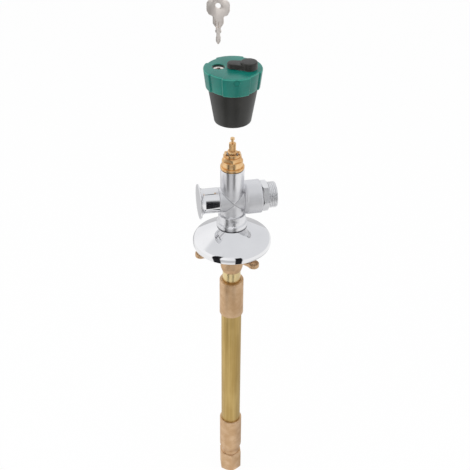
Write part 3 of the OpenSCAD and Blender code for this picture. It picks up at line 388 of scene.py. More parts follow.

# %% [markdown]
# The cross is a brass casting under the plating. Its tube and its flange have been on the
# polishing wheel, which doesn't reach the crossing and the two arms. Those keep the fine
# pearl of blasting, so the roughness depends on X and Z. Where tube and arms meet, along two
# planes at 45 degrees, grey lines are painted in as shade in the creases. The foot of the
# flange, just above the cover plate, is painted darker still as the shadow in that gap.

# %% Cast chrome
f = start("cast_chrome")
pearl = f.noise(2600, 2)
cloud = f.noise(120, 3)
across, height = f.along("X"), f.along("Z")
wheel = height.ramp(0.072, 0.090) + height.ramp(0.055, 0.047)
sideways = f.math("ABSOLUTE", across, 0.0)
matte = 1.0 - wheel * sideways.ramp(0.015, 0.010)
arm_low, arm_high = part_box("hose_connector")
upwards = f.math("ABSOLUTE", height - (arm_low.z + arm_high.z) / 2, 0.0)
# Painted shade: grey lines along the creases where the tube meets the arms.
crease_shade = f.math("ABSOLUTE", sideways - upwards, 0.0).ramp(0.0009, 0.0001) * sideways.ramp(0.0118, 0.0108)
# Painted shadow: a dark band at the flange's foot, in the gap above the cover plate.
flange_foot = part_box("rosette")[1].z + 0.0003
below = height.ramp(flange_foot + 0.0016, flange_foot + 0.0009)
painted_edge_shading = below * height.ramp(flange_foot - 0.0008, flange_foot - 0.0003)
plating = cloud.mix(srgb(224, 224, 226), srgb(238, 238, 240))
# The grey in this colour is the painted crease shade and the painted shadow at the flange's foot.
finish(
    "cast_chrome",
    (crease_shade * 0.55 + painted_edge_shading * 0.9).mix(plating, srgb(112, 112, 116)),
    0.27 + matte * 0.21 + cloud * 0.07,
    (pearl * (0.35 + matte * 0.65)).bump(0.00006, 0.5),
    metallic=1.0,
)

# %% [markdown]
# The hose connector comes off a lathe. The tool leaves rings about a third of a millimetre
# apart round its axis, which the plating doesn't hide.

# %% Turned chrome
f = start("turned_chrome")
rings = f.rings("X", 480.0, 0.6)
cloud = f.noise(160)
finish(
    "turned_chrome",
    cloud.mix(srgb(232, 232, 233), srgb(244, 244, 245)),
    0.26 + cloud * 0.08 + rings * 0.04,
    rings.bump(0.00003, 0.5),
    metallic=1.0,
)

# %% [markdown]
# The brass head and the spindle are turned from bar and left bare. The colour is a warm
# orange gold, darker where hands and flux have touched it.

# %% Turned brass
f = start("turned_brass")
rings = f.rings("Z", 520.0, 0.8)
cloud = f.noise(210, 3)
finish(
    "turned_brass",
    cloud.ramp(0.35, 0.75).mix(srgb(240, 202, 150), srgb(214, 166, 112)),
    0.24 + cloud * 0.10 + rings * 0.04,
    rings.bump(0.00003, 0.5),
    metallic=1.0,
)

# %% [markdown]
# The pipe is drawn through a die, which leaves long streaks along it, and the yellow brass
# has started to tarnish in patches that are longer than they are wide. The short neck above
# the coupling is cleaner, because it was wiped bright for soldering.

# %% Drawn brass
f = start("drawn_brass")
streaks = f.noise(420, 3, (1, 1, 0.03))
patches = f.noise(60, 3, (1, 1, 0.35))
tone = (streaks * 0.55 + patches * 0.45).ramp(0.36, 0.64)
wiped = f.along("Z").ramp(-0.038, -0.032)
finish(
    "drawn_brass",
    wiped.mix(tone.mix(srgb(186, 156, 95), srgb(210, 182, 120)), srgb(228, 206, 154)),
    0.36 + streaks * 0.10 + patches * 0.08 - wiped * 0.16,
    streaks.bump(0.00004, 0.5),
    metallic=1.0,
)

# %% [markdown]
# The bracket, the coupling and the end fitting are sand cast in gunmetal, a pinkish bronze.
# The sand leaves a fine pitted skin, and tumbling has rubbed the high places brighter.

# %% Gunmetal
f = start("gunmetal")
sand = f.noise(1500, 4)
pits = f.node(
    "ShaderNodeTexVoronoi",
    None,
    {"Vector": f.node("ShaderNodeTexCoord", out="Object"), "Scale": 900.0},
    out="Distance",
)
cloud = f.noise(110, 4)
tone = (cloud * 0.7 + sand * 0.3).ramp(0.36, 0.66)
finish(
    "gunmetal",
    tone.mix(srgb(202, 166, 126), srgb(222, 190, 154)),
    0.40 + sand * 0.16,
    (sand * 0.7 + pits * 0.3).bump(0.00012, 0.55),
    metallic=1.0,
)

# %% [markdown]
# Spring wire, the circlip and the pins are plain steel. The key and the lock are nickel
# plated, brushed along the blade, and a little worn.

# %% Steel and nickel
f = start("steel")
cloud = f.noise(400, 3)
finish(
    "steel",
    cloud.mix(srgb(142, 141, 139), srgb(172, 171, 169)),
    0.28 + cloud * 0.14,
    cloud.bump(0.00003, 0.4),
    metallic=1.0,
)
f = start("nickel")
brushed = f.noise(1500, 3, (1, 1, 0.05))
cloud = f.noise(150, 3)
finish(
    "nickel",
    cloud.mix(srgb(240, 230, 222), srgb(252, 246, 239)),
    0.30 + brushed * 0.12 + cloud * 0.06,
    brushed.bump(0.00003, 0.5),
    metallic=1.0,
)

# %% [markdown]
# The mouldings have a fine spark-eroded grain. The skirt is a dull black, the cap a bluish
# green with a little more gloss, the seals are soft black rubber, and the inner valve parts
# are a milky white plastic. The cap is painted paler just under its top edge as a highlight,
# and along its lower edge too, and the inside of the keyhole is painted dark as shade.


# %% Plastics and rubber
def cap_painted_shading(f, tint):
    """The cap's colour: a painted highlight along its top edge, paler along its lower edge, and painted shade
    inside the keyhole.
    """
    low, high = (corner.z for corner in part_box("handle_cap"))
    middle = sum(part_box("lock_barrel"), Vector()) / 2
    height = f.along("Z")
    # Painted highlight: a band just under the top edge is made paler, and so is the lower edge.
    painted_edge_shading = height.ramp(high - 0.0013, high - 0.0008) * height.ramp(high - 0.0001, high - 0.0003)
    painted_edge_shading = painted_edge_shading + height.ramp(low + 0.0009, low + 0.0004)
    across, ahead = f.along("X") - middle.x, f.along("Y") - middle.y
    # Painted shade: the inside of the keyhole is darkened, down from the top.
    inside = (across * across + ahead * ahead).ramp(0.0064**2, 0.0062**2)
    keyhole_shade = inside * height.ramp(high - 0.0003, high - 0.0008)
    return keyhole_shade.mix(painted_edge_shading.mix(tint, srgb(46, 142, 124)), srgb(2, 50, 44))


def moulded(name, dark, light, roughness, grain_scale, depth, shading_paint=None):
    """A moulding: fine grain, faint flow marks and a gloss that isn't quite even."""
    f = start(name)
    grain = f.noise(grain_scale, 3)
    flow = f.noise(70, 3)
    tint = (flow * 0.6 + grain * 0.4).ramp(0.32, 0.70).mix(dark, light)
    finish(
        name,
        # The cap's painted highlight and painted shade are mixed in here when given.
        shading_paint(f, tint) if shading_paint else tint,
        roughness + flow * 0.08 + grain * 0.06,
        grain.bump(depth, 0.5),
    )


moulded("black_plastic", srgb(28, 28, 24), srgb(38, 37, 33), 0.34, 2600, 0.00006)
# The green cap gets a painted highlight on its edges and painted shade in its keyhole.
moulded("green_plastic", srgb(4, 103, 92), srgb(10, 122, 108), 0.26, 1900, 0.00005, shading_paint=cap_painted_shading)
moulded("rubber", srgb(24, 24, 24), srgb(36, 36, 36), 0.62, 1600, 0.00005)
moulded("white_plastic", srgb(226, 226, 219), srgb(238, 238, 232), 0.36, 1500, 0.00003)

# %% [markdown]
# The CAD parts that stay get the finish of their own material slot, so that what shows
# through a hole or from below is finished too.

# %% Finish the CAD parts
SLOT_OF = {row["node"]: row["material_slot"] for row in frame["record"]["subparts"]}
for name, part in frame["nodes"].items():
    part.data.materials.clear()
    part.data.materials.append(FINISHES[SLOT_OF[name]])
print("finished", len(SLOT_OF), "parts")

# %% [markdown]
# ## Hand tools
#
# Most pieces come off a lathe, so they are modelled the same way: one vertex is drawn out
# into half a section, its corners are rounded with a vertex bevel, and the line is spun
# round the axis. Sizes below are in millimetres, as in the CAD source, and the levels are
# read off the CAD parts' own boxes.

# %% Selecting and measuring
MM = 0.001


def box(node):
    """The lowest and the highest corner of a CAD part, in millimetres."""
    return [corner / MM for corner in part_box(node)]


def alone(piece):
    """Leave one object selected and active, so that the next operator acts on it alone."""
    bpy.ops.object.select_all(action="DESELECT")
    piece.select_set(True)
    bpy.context.view_layer.objects.active = piece


def choose(test, kind="VERT"):
    """In edit mode, select the vertices, edges or faces that pass a test."""
    bpy.ops.mesh.select_mode(type=kind)
    bpy.ops.mesh.select_all(action="DESELECT")
    mesh = bmesh.from_edit_mesh(bpy.context.object.data)
    items = {"VERT": mesh.verts, "EDGE": mesh.edges, "FACE": mesh.faces}[kind]
    chosen = [item for item in items if test(item)]
    for item in chosen:
        item.select_set(True)
    bmesh.update_edit_mesh(bpy.context.object.data)
    return len(chosen)


print("valve body's corners", *box("valve_body"))

# %% Drawing a line and rounding its corners
ROUND_STEPS = 6


def draw(name, corners, place, closed=True):
    """In edit mode, draw one vertex out from corner to corner. A corner's third number rounds it."""
    bpy.ops.object.select_all(action="DESELECT")
    bpy.ops.mesh.primitive_plane_add(size=MM)
    piece = bpy.context.object
    piece.name = piece.data.name = name
    bpy.ops.object.mode_set(mode="EDIT")
    bpy.ops.mesh.merge(type="CENTER")
    spots = [place(*corner[:2]) for corner in corners]
    bpy.ops.transform.translate(value=spots[0])
    for here, there in zip(spots, spots[1:]):
        bpy.ops.mesh.extrude_vertices_move(TRANSFORM_OT_translate={"value": there - here})
    if closed:
        choose(lambda v: min((v.co - spots[0]).length, (v.co - spots[-1]).length) < 1e-6)
        bpy.ops.mesh.edge_face_add()
    for k, corner in enumerate(corners):
        if len(corner) > 2:
            back, ahead = spots[k - 1] - spots[k], spots[(k + 1) % len(spots)] - spots[k]
            choose(lambda v: (v.co - spots[k]).length < 1e-6)
            bpy.ops.mesh.bevel(
                affect="VERTICES",
                offset=corner[2] * MM / math.tan(back.angle(ahead) / 2),
                segments=ROUND_STEPS,
            )
    return piece


def close_up(threshold=1e-7):
    """In edit mode, merge doubles and turn all faces outwards, then leave edit mode."""
    bpy.ops.mesh.select_all(action="SELECT")
    bpy.ops.mesh.remove_doubles(threshold=threshold)
    bpy.ops.mesh.normals_make_consistent(inside=False)
    bpy.ops.object.mode_set(mode="OBJECT")


print("a rounded corner has", ROUND_STEPS, "steps")

# %% Turning on the lathe
ARM = sum(corner.z for corner in box("hose_connector")) / 2
AXES = {
    "up": (Vector((0, 0, 1)), Vector((1, 0, 0)), Vector((0, 0, 0))),
    "outlet": (Vector((1, 0, 0)), Vector((0, 0, 1)), Vector((0, 0, ARM * MM))),
    "vent": (Vector((-1, 0, 0)), Vector((0, 0, 1)), Vector((0, 0, ARM * MM))),
}


def turned(name, corners, axis="up", closed=False, steps=96):
    """Spin half a section, given as radius and distance along the axis, into a solid."""
    along, out, centre = AXES[axis]
    piece = draw(name, corners, lambda r, h: centre + out * (r * MM) + along * (h * MM), closed)
    bpy.ops.mesh.select_all(action="SELECT")
    bpy.ops.mesh.spin(steps=steps, angle=math.tau, center=centre, axis=along)
    close_up()
    return piece


def drum(radius, low, high, axis="up", steps=64):
    """A plain cylinder, mostly to cut with."""
    return turned("drum", [(0, low), (radius, low), (radius, high), (0, high)], axis, steps=steps)


print("arms at", round(ARM, 2), "mm")

# %% Extruding, moving and screwing
COIL_STEPS = 72


def slab(name, outline, low, high):
    """Fill a flat outline of x and y, and extrude it between two heights."""
    piece = draw(name, outline, lambda x, y: Vector((x, y, low)) * MM)
    bpy.ops.mesh.select_all(action="SELECT")
    bpy.ops.mesh.edge_face_add()
    bpy.ops.mesh.extrude_region_move(TRANSFORM_OT_translate={"value": (0, 0, (high - low) * MM)})
    close_up()
    return piece


def moved(piece, x=0.0, y=0.0, z=0.0, tilt=(0, 0, 0)):
    """Tilt a piece about the origin by degrees, move it and keep its new place."""
    alone(piece)
    piece.rotation_euler = [math.radians(a) for a in tilt]
    piece.location = (x * MM, y * MM, z * MM)
    bpy.ops.object.transform_apply(location=True, rotation=True)
    return piece


def coil(name, section, pitch, turns):
    """A section that climbs round the Z axis from z = 0, as a closed solid."""
    piece = draw(name, section, lambda r, h: Vector((r, 0, h)) * MM)
    bpy.ops.object.mode_set(mode="OBJECT")
    modify(
        piece,
        "SCREW",
        axis="Z",
        screw_offset=pitch * MM,
        iterations=turns,
        steps=COIL_STEPS,
        render_steps=COIL_STEPS,
    )
    bpy.ops.object.mode_set(mode="EDIT")
    bpy.ops.mesh.select_all(action="SELECT")
    bpy.ops.mesh.fill_holes(sides=8)
    close_up()
    return piece


def thread(name, base, crest, pitch, turns):
    """The ridge of a screw thread."""
    wide, narrow = 0.44 * pitch, 0.09 * pitch
    return coil(name, [(base, -wide), (crest, -narrow), (crest, narrow), (base, wide)], pitch, turns)


print("a turn of a coil has", COIL_STEPS, "steps")


# %% Joining, cutting and rounding
def modify(piece, kind, **settings):
    """Add a modifier and apply it."""
    alone(piece)
    made = piece.modifiers.new(kind.title(), kind)
    for name, value in settings.items():
        setattr(made, name, value)
    bpy.ops.object.modifier_apply(modifier=made.name)


def carve(piece, *tools, how="DIFFERENCE"):
    """Cut each tool away from a piece, or join or intersect it, and throw the tool away."""
    for tool in tools:
        modify(piece, "BOOLEAN", operation=how, solver="EXACT", object=tool)
        bpy.data.objects.remove(tool)
    return piece


def soften(piece, width, angle=35, segments=3):
    """Round the edges that are sharper than an angle."""
    modify(
        piece,
        "BEVEL",
        width=width * MM,
        segments=segments,
        limit_method="ANGLE",
        angle_limit=math.radians(angle),
    )
    return piece


def cast(piece, grain, rounds):
    """Mesh joined forms again with small even faces, and smooth their corners into fillets."""
    modify(piece, "REMESH", mode="VOXEL", voxel_size=grain * MM)
    modify(piece, "SMOOTH", factor=0.5, iterations=rounds)
    print("casting", len(piece.data.polygons), "faces")


# %% [markdown]
# A finished piece takes the place of its CAD part. It gets the part's finish and moves with the
# part's body.


# %% Showing a finished piece
def show(piece, body, *nodes, smooth=32):
    """Shade a finished piece, give it its nodes' finish, and put it on its body in their stead."""
    alone(piece)
    bpy.ops.object.shade_smooth_by_angle(angle=math.radians(smooth))
    piece.data.materials.clear()
    piece.data.materials.append(FINISHES[SLOT_OF[nodes[0]]])
    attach(piece, body)
    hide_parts(*nodes)
    print(piece.name, len(piece.data.polygons), "faces")


# %% [markdown]
# ## The cover plate
#
# A disc of sheet brass, pressed with a short straight rim, a round edge and a steep cone,
# with a thick collar that slides on the body's neck. Its section is a thin closed line, so
# that the underside shows as the hollow pressing that it is.

# %% Cover plate
FIT = 0.02  # the clearance between pieces that go into or onto each other
SHEET, SLOPE = 1.0, math.tan(math.radians(31))
RIM_RAISED, COLLAR_DEPTH, GROOVE_UP = 1.3, 5.7, 1.5
GROOVE_H, GROOVE_DEPTH = 1.9, 1.17
rose_low, rose_high = box("rosette")
hole, land, rim = 13.25, 15.6, rose_high.x - FIT
edge = rose_high.z - (rim - land) * SLOPE
rim_foot = rose_low.z + RIM_RAISED
collar = rose_high.z - COLLAR_DEPTH
groove = collar + GROOVE_UP
cover_plate = turned(
    "cover_plate",
    [
        (rim - SHEET, rim_foot, 0.35),
        (rim, rim_foot, 0.35),
        (rim, edge, 4.8),
        (land, rose_high.z, 0.6),
        (hole, rose_high.z, 0.3),
        (hole, groove + GROOVE_H),
        (hole + GROOVE_DEPTH, groove + GROOVE_H),
        (hole + GROOVE_DEPTH, groove),
        (hole, groove),
        (hole, collar),
        (land, collar),
        (land, rose_high.z - 1.15),
        (rim - SHEET, edge - 0.56, 4.5),
    ],
    closed=True,
    steps=160,
)
show(cover_plate, "cover_plate", "rosette")

# %% [markdown]
# ## The pipe vent
#
# A mushroom-shaped cap screws on the left arm. A plain barrel flares into a thin disc whose
# face is very slightly domed. Three air ports are drilled into the far side, away from rain.

# %% Vent cap
BARREL_R, LIP_T = 12.6, 1.6
PORT_R, PORT_BACK, PORT_TURNS = 1.3, 3.75, (-40, 0, 40)
vent_low, vent_high = box("vent_cap")
start_x, face_x = -vent_high.x, -vent_low.x
disc = vent_high.y
vent_cap = turned(
    "mushroom_cap",
    [
        (0, face_x - 2.4),
        (4.2, face_x - 2.4),
        (4.2, start_x + 12.78),
        (8.5, start_x + 12.78),
        (8.5, start_x + 6),
        (7.5, start_x + 6),
        (7.5, start_x),
        (BARREL_R, start_x, 0.5),
        (BARREL_R, face_x - LIP_T, 4.7),
        (disc, face_x - LIP_T, 0.3),
        (disc, face_x - 0.4, 0.5),
        (9.0, face_x - 0.07),
        (0, face_x),
    ],
    axis="vent",
    steps=128,
)
for turn in PORT_TURNS:
    drill = drum(PORT_R, 0, 17, steps=24)
    carve(vent_cap, moved(drill, x=PORT_BACK - face_x, z=ARM, tilt=(turn - 90, 0, 0)))
show(vent_cap, "fixed", "vent_cap")

# %% [markdown]
# ## The cast cross
#
# Neck, flange, spanner collar, upright tube, vent arm and outlet boss are one casting. A
# caster's pattern has a fillet wherever two forms meet. Joining the turned forms, meshing
# them again with small even faces and smoothing those gives the same soft corners. The
# bores and the spanner flats are machined afterwards, so they are cut afterwards.

# %% Cross
NECK_R, FLANGE_R, COLLAR_R, TUBE_R = 13.0, 15.75, 14.0, 11.85
ARM_R, NIPPLE_R, BOSS_R = 12.45, 7.48, 17
FLANGE_T, COLLAR_H, ARM_REACH, BOSS_START = 6, 9.3, 14, 10.65
body_low, body_high = box("valve_body")
top, foot, boss_end, nipple_end = body_high.z, body_low.z, body_high.x, -body_low.x
flange = rose_high.z + 0.3
step = flange + FLANGE_T + COLLAR_H
cross = turned(
    "cast_cross",
    [
        (0, foot),
        (NECK_R, foot),
        (NECK_R, flange),
        (FLANGE_R, flange, 0.7),
        (FLANGE_R, flange + FLANGE_T, 2.9),
        (COLLAR_R, flange + FLANGE_T),
        (COLLAR_R, step, 1.2),
        (TUBE_R, step),
        (TUBE_R, top, 0.5),
        (0, top),
    ],
)
vent_arm = turned(
    "vent_arm",
    [
        (0, 0),
        (ARM_R, 0),
        (ARM_R, ARM_REACH, 0.4),
        (NIPPLE_R, ARM_REACH),
        (NIPPLE_R, nipple_end),
        (0, nipple_end),
    ],
    axis="vent",
)
boss = turned(
    "boss",
    [
        (0, 0),
        (TUBE_R, 0),
        (TUBE_R, BOSS_START),
        (BOSS_R, BOSS_START, 4),
        (BOSS_R, boss_end, 1.2),
        (0, boss_end),
    ],
    axis="outlet",
)
carve(cross, vent_arm, boss, how="UNION")
cast(cross, grain=0.48, rounds=5)

# %% Machine the cross
FLAT_H, FLAT_W, FLAT_T, FLAT_Y = 5.3, 28, 14, 20
spigot_top = box("wall_bracket")[1].z
head_low = box("bonnet")[0].z
upright_bore = turned(
    "upright_bore",
    [
        (0, foot - 1),
        (10.02, foot - 1),
        (10.02, spigot_top + FIT),
        (8.25, spigot_top + FIT),
        (8.25, head_low - 2),
        (9.02, head_low - 2),
        (9.02, top + 1),
        (0, top + 1),
    ],
)
arm_bore = turned(
    "arm_bore",
    [(0, -21), (4.5, -21), (4.5, 0), (6, 0), (6, 13.2), (10.02, 13.2), (10.02, 29.7), (0, 29.7)],
    axis="outlet",
)
flats = []
for side in (-1, 1):
    bpy.ops.object.select_all(action="DESELECT")
    bpy.ops.mesh.primitive_cube_add(
        size=1,
        location=(0, side * FLAT_Y * MM, (step - FLAT_H / 2) * MM),
        scale=(FLAT_W * MM, FLAT_T * MM, FLAT_H * MM),
    )
    bpy.ops.object.transform_apply(location=True, scale=True)
    flats.append(bpy.context.object)
carve(cross, upright_bore, arm_bore, *flats)
show(cross, "fixed", "valve_body", smooth=40)

# %% [markdown]
# ## The hose connector
#
# A hexagon nipple screws into the boss, and a garden hose's union screws on its other end.
# The pipe thread is a real ridge here: one small trapezium, carried round the axis by the
# screw modifier with a pitch of 14 turns to the inch, then trimmed by the turned outline.

# %% Hose connector
PITCH = 1.814
CORE_R, CREST_R, NUT_ACROSS = 12.1, 13.2, 27
nut_low, nut_high = box("hose_connector")
hex_x, hex_end, mouth_x = 29.5, 35.5, nut_high.x


def hexagon(across, low, high, chamfer, turn):
    """A hexagon bar along Z whose corners are turned off at both ends."""
    corner = across / math.sqrt(3)
    bpy.ops.object.select_all(action="DESELECT")
    bpy.ops.mesh.primitive_cylinder_add(vertices=6, radius=corner * MM, depth=(high - low) * MM)
    bar = moved(bpy.context.object, z=(low + high) / 2, tilt=(0, 0, turn - 90))
    cone = turned(
        "cone",
        [
            (0, low - 0.01),
            (corner - chamfer, low - 0.01),
            (corner + 0.1, low + 0.55 * chamfer),
            (corner + 0.1, high - 0.55 * chamfer),
            (corner - chamfer, high + 0.01),
            (0, high + 0.01),
        ],
    )
    return carve(bar, cone, how="INTERSECT")


connector = turned("connector", [(0, 33.7), (CORE_R, 33.7), (CORE_R, 45.5), (0, 45.5)])
ridge = moved(thread("ridge", 11.9, 13.3, PITCH, 6), z=34.1)
carve(connector, ridge, how="UNION")
end_x = mouth_x - FIT
trim = turned(
    "trim", [(0, 34.5), (CREST_R, 34.5), (CREST_R, mouth_x - 0.9), (CORE_R + 0.1, end_x), (0, end_x)]
)
carve(connector, trim, how="INTERSECT")
carve(connector, hexagon(NUT_ACROSS, hex_x, hex_end, 1.6, 30), drum(10, nut_low.x, 30), how="UNION")
connector_bore = turned(
    "connector_bore",
    [
        (0, nut_low.x - 1),
        (4.98, nut_low.x - 1),
        (4.98, 14.7),
        (7.6, 14.7),
        (7.6, mouth_x - 8.3),
        (9.3, mouth_x - 8.3),
        (9.3, mouth_x - 0.6),
        (10, mouth_x + 0.1),
        (0, mouth_x + 0.1),
    ],
)
carve(connector, connector_bore)
connector.name = connector.data.name = "hose_nipple"
moved(connector, z=ARM, tilt=(0, 90, 0))
show(connector, "fixed", "hose_connector", smooth=28)

# %% [markdown]
# Inside the connector a spring shuts the check valve. Water pushes the poppet open and presses
# the coils together.

# %% Check valve spring
spring_low, spring_high = box("check_valve_spring")
WIRE, COILS, OPENING = 0.4, 5, 4.0
ring = spring_high.y - WIRE
wire = [(ring + WIRE * math.cos(k * math.pi / 4), WIRE * math.sin(k * math.pi / 4)) for k in range(8)]
length = spring_high.x - spring_low.x
spring = moved(coil("poppet_spring", wire, (length - 2 * WIRE) / COILS, COILS), z=spring_low.x + WIRE)
moved(spring, z=ARM, tilt=(0, 90, 0))
show(spring, "fixed", "check_valve_spring")
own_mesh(spring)

# %% [markdown]
# ## The brass head
#
# The bonnet screws into the top of the body. A flange and a round band come off the lathe.
# The hexagon above them has its corners turned to a dome, and a slotted crown round the
# spindle holds the circlip.

# %% Bonnet
GASKET_T, HEAD_FLANGE_T, BAND_H, CROWN_H = 0.8, 2.4, 6.5, 4.4
HEAD_FLANGE_R, BAND_R, DOME_R, CROWN_R, SPIGOT_R = 11.9, 10.4, 10.15, 8, 9
HEX_ACROSS, HEX_TURN = 17.6, 21.5
SLOT, SLOT_TURNS = [(-9, -2.25), (9, -2.25), (9, 2.25), (-9, 2.25)], (38, 128)
head_high = box("bonnet")[1].z
crown_top, crown_low = head_high - 1, head_high - CROWN_H
seat = top + GASKET_T
band_low = seat + HEAD_FLANGE_T
hex_low = band_low + BAND_H
head = hexagon(HEX_ACROSS, hex_low - 0.5, crown_low, 0.01, HEX_TURN)
dome = turned("dome", [(0, hex_low - 1), (DOME_R, hex_low - 1), (DOME_R, crown_low, 1.8), (0, crown_low)])
carve(head, dome, how="INTERSECT")
soften(head, 0.25, 25, 2)
head_flange = turned(
    "head_flange",
    [
        (0, seat),
        (HEAD_FLANGE_R, seat, 0.3),
        (HEAD_FLANGE_R, band_low, 0.5),
        (BAND_R, band_low),
        (BAND_R, hex_low, 0.6),
        (0, hex_low),
    ],
)
crown_foot = crown_low - 1
crown = turned("crown", [(0, crown_foot), (CROWN_R, crown_foot), (CROWN_R, crown_top, 0.4), (0, crown_top)])
carve(head, head_flange, crown, drum(SPIGOT_R, head_low, seat + 0.5), how="UNION")
slots = [moved(slab("slot", SLOT, head_high - 2.5, head_high + 1), tilt=(0, 0, turn)) for turn in SLOT_TURNS]
head_bore = turned(
    "head_bore",
    [
        (0, head_low - 1),
        (4.55, head_low - 1),
        (4.55, head_high - 3),
        (6.2, head_high - 3),
        (6.2, head_high + 1),
        (0, head_high + 1),
    ],
)
carve(head, head_bore, *slots)
head.name = head.data.name = "brass_head"
show(head, "fixed", "bonnet", smooth=28)

# %% [markdown]
# ## The handle
#
# The black skirt is a hollow cone, and the green cap plugs into it. The skirt is turned. The
# cap is turned too, and then the vertices of four sectors are drawn in towards the axis for
# the flutes between its finger panels. Half-moon thumb marks and the keyhole are cut last.

# %% Skirt
cap_low, cap_high = box("handle_cap")
skirt_z, cap_z, cap_top = box("handle_skirt")[0].z, cap_low.z, cap_high.z
web_top = box("handle_hub")[1].z
skirt = turned(
    "black_skirt",
    [
        (14.2, skirt_z, 0.5),
        (17.4, skirt_z, 1.2),
        (23.2, cap_z - FIT, 0.3),
        (21.28, cap_z - FIT),
        (21.28, cap_z + 5, 0.3),
        (19.93, cap_z + 5),
        (19.93, web_top),
        (6.02, web_top),
        (6.02, web_top - 3),
        (19.3, web_top - 3, 1.0),
        (15.6, skirt_z + 4),
        (14.2, skirt_z + 3),
    ],
    closed=True,
    steps=128,
)
show(skirt, "handle", "handle_skirt")

# %% Cap
HANDLE_TURN, PANEL_TURN = -19.5, 15.5
FLUTE, FLUTE_DEPTH, FLUTE_R, CAP_STEPS = 32, 1.7, 26.2, 240
MARK_R, MARK_FLOOR, MARK_DROP = 3.1, 26.1, 3.7
KEYHOLE_R, SLEEVE_R, LOCK_BOSS_R = 6, 5.52, 7.1
lock_face = box("lock_barrel")[1].z
lock_x = -13.4
cap = turned(
    "green_cap",
    [
        (2.55, cap_top - 5.2),
        (4.5, cap_top - 5.2, 0.3),
        (4.5, cap_top - 3.2),
        (21.3, cap_top - 3.2, 0.6),
        (21.3, cap_z),
        (25.1, cap_z, 0.5),
        (27.3, cap_top, 1.2),
        (2.55, cap_top),
    ],
    closed=True,
    steps=CAP_STEPS,
)
alone(cap)
bpy.ops.object.mode_set(mode="EDIT")


def in_flute(v):
    """Whether a vertex lies on the outside within one of the four flutes."""
    angle = math.degrees(math.atan2(v.co.y, v.co.x)) % 90
    return v.co.xy.length > 23.5 * MM and abs(angle - 45) < FLUTE / 2


print("flute vertices", choose(in_flute))
shrink = 1 - FLUTE_DEPTH / FLUTE_R
bpy.ops.transform.resize(value=(shrink, shrink, 1), center_override=(0, 0, 0))
bpy.ops.object.mode_set(mode="OBJECT")
soften(cap, 0.45, 40, 3)
for turn in range(0, 360, 90):
    mark = moved(drum(MARK_R, MARK_FLOOR, 32, steps=48), tilt=(0, 90, 0))
    moved(mark, z=cap_top - MARK_DROP, tilt=(0, 0, turn))
    carve(cap, mark)
moved(cap, tilt=(0, 0, PANEL_TURN))
lock_boss = moved(drum(LOCK_BOSS_R, cap_z + 5.5, cap_top - 2), x=lock_x)
carve(cap, lock_boss, how="UNION")
carve(cap, moved(drum(SLEEVE_R, cap_z - 1, lock_face), x=lock_x))
keyhole = turned(
    "keyhole",
    [
        (0, lock_face - FIT),
        (KEYHOLE_R, lock_face - FIT),
        (KEYHOLE_R, cap_top - 0.4),
        (KEYHOLE_R + 0.5, cap_top + 0.1),
        (0, cap_top + 0.1),
    ],
)
carve(cap, moved(keyhole, x=lock_x))
moved(cap, tilt=(0, 0, HANDLE_TURN))
show(cap, "handle", "handle_cap", smooth=30)

# %% [markdown]
# Down in the keyhole sits the lock. A nickel sleeve is pressed into the cap, and a plug with
# a cross shaped keyway turns in it. The slots are milled after turning.

# %% Lock
FACE_RAISED, KEYWAY_DEPTH = 0.9, 14.9
KEYWAY = ((2.95, 1.25), (1.4, 3.4))
sleeve_low, sleeve_high = box("lock_barrel")
plug_low = box("lock_plug")[0].z
face, cam_top = sleeve_high.z + FACE_RAISED, sleeve_low.z - 0.3
sleeve = turned(
    "lock_sleeve",
    [(4.06, sleeve_low.z), (5.48, sleeve_low.z), (5.48, face, 0.5), (4.06, face, 0.2)],
    closed=True,
    steps=64,
)
core = turned(
    "lock_core",
    [(0, plug_low), (2.2, plug_low), (2.2, cam_top), (4, cam_top), (4, face, 0.3), (0, face)],
    steps=64,
)
for wide, deep in KEYWAY:
    outline = [(-wide, -deep), (wide, -deep), (wide, deep), (-wide, deep)]
    carve(core, slab("keyway", outline, sleeve_high.z - KEYWAY_DEPTH, face + 1))
for piece, body, node in ((sleeve, "handle", "lock_barrel"), (core, "lock", "lock_plug")):
    moved(piece, x=lock_x)
    moved(piece, tilt=(0, 0, HANDLE_TURN))
    show(piece, body, node)

# %% [markdown]
# A black cover swings over the keyhole. It is a moulded bar that widens towards a raised round
# end for the thumb, on a stud that goes through the cap.

# %% Keyhole cover
BAR_T, DISC_T, DISC_R, DISC_X = 4.6, 6.6, 7.8, 14.6
cover_z = cap_top + 0.3
cover = slab(
    "lock_cover",
    [(-5.4, -5.4, 5.2), (2, -5.4, 4), (DISC_X, -7.5), (DISC_X, 7.5), (2, 5.4, 4), (-5.4, 5.4, 5.2)],
    cover_z,
    cover_z + BAR_T,
)
soften(cover, 0.9, 50, 4)
disc_end = turned(
    "disc_end",
    [(0, cover_z), (DISC_R, cover_z, 0.4), (DISC_R, cover_z + DISC_T, 1.2), (0, cover_z + DISC_T)],
)
stud_low = box("keyhole_cover")[0].z
carve(cover, moved(disc_end, x=DISC_X), drum(2.5, stud_low, cover_z + 1), how="UNION")
moved(cover, tilt=(0, 0, HANDLE_TURN))
show(cover, "cover", "keyhole_cover", smooth=34)

# %% [markdown]
# ## The key
#
# Flat keys are blanked from sheet. The outline is drawn point by point on one side of the
# middle line, mirrored, and extruded to the sheet's thickness. The hole for the ring and two
# slots are stamped afterwards.

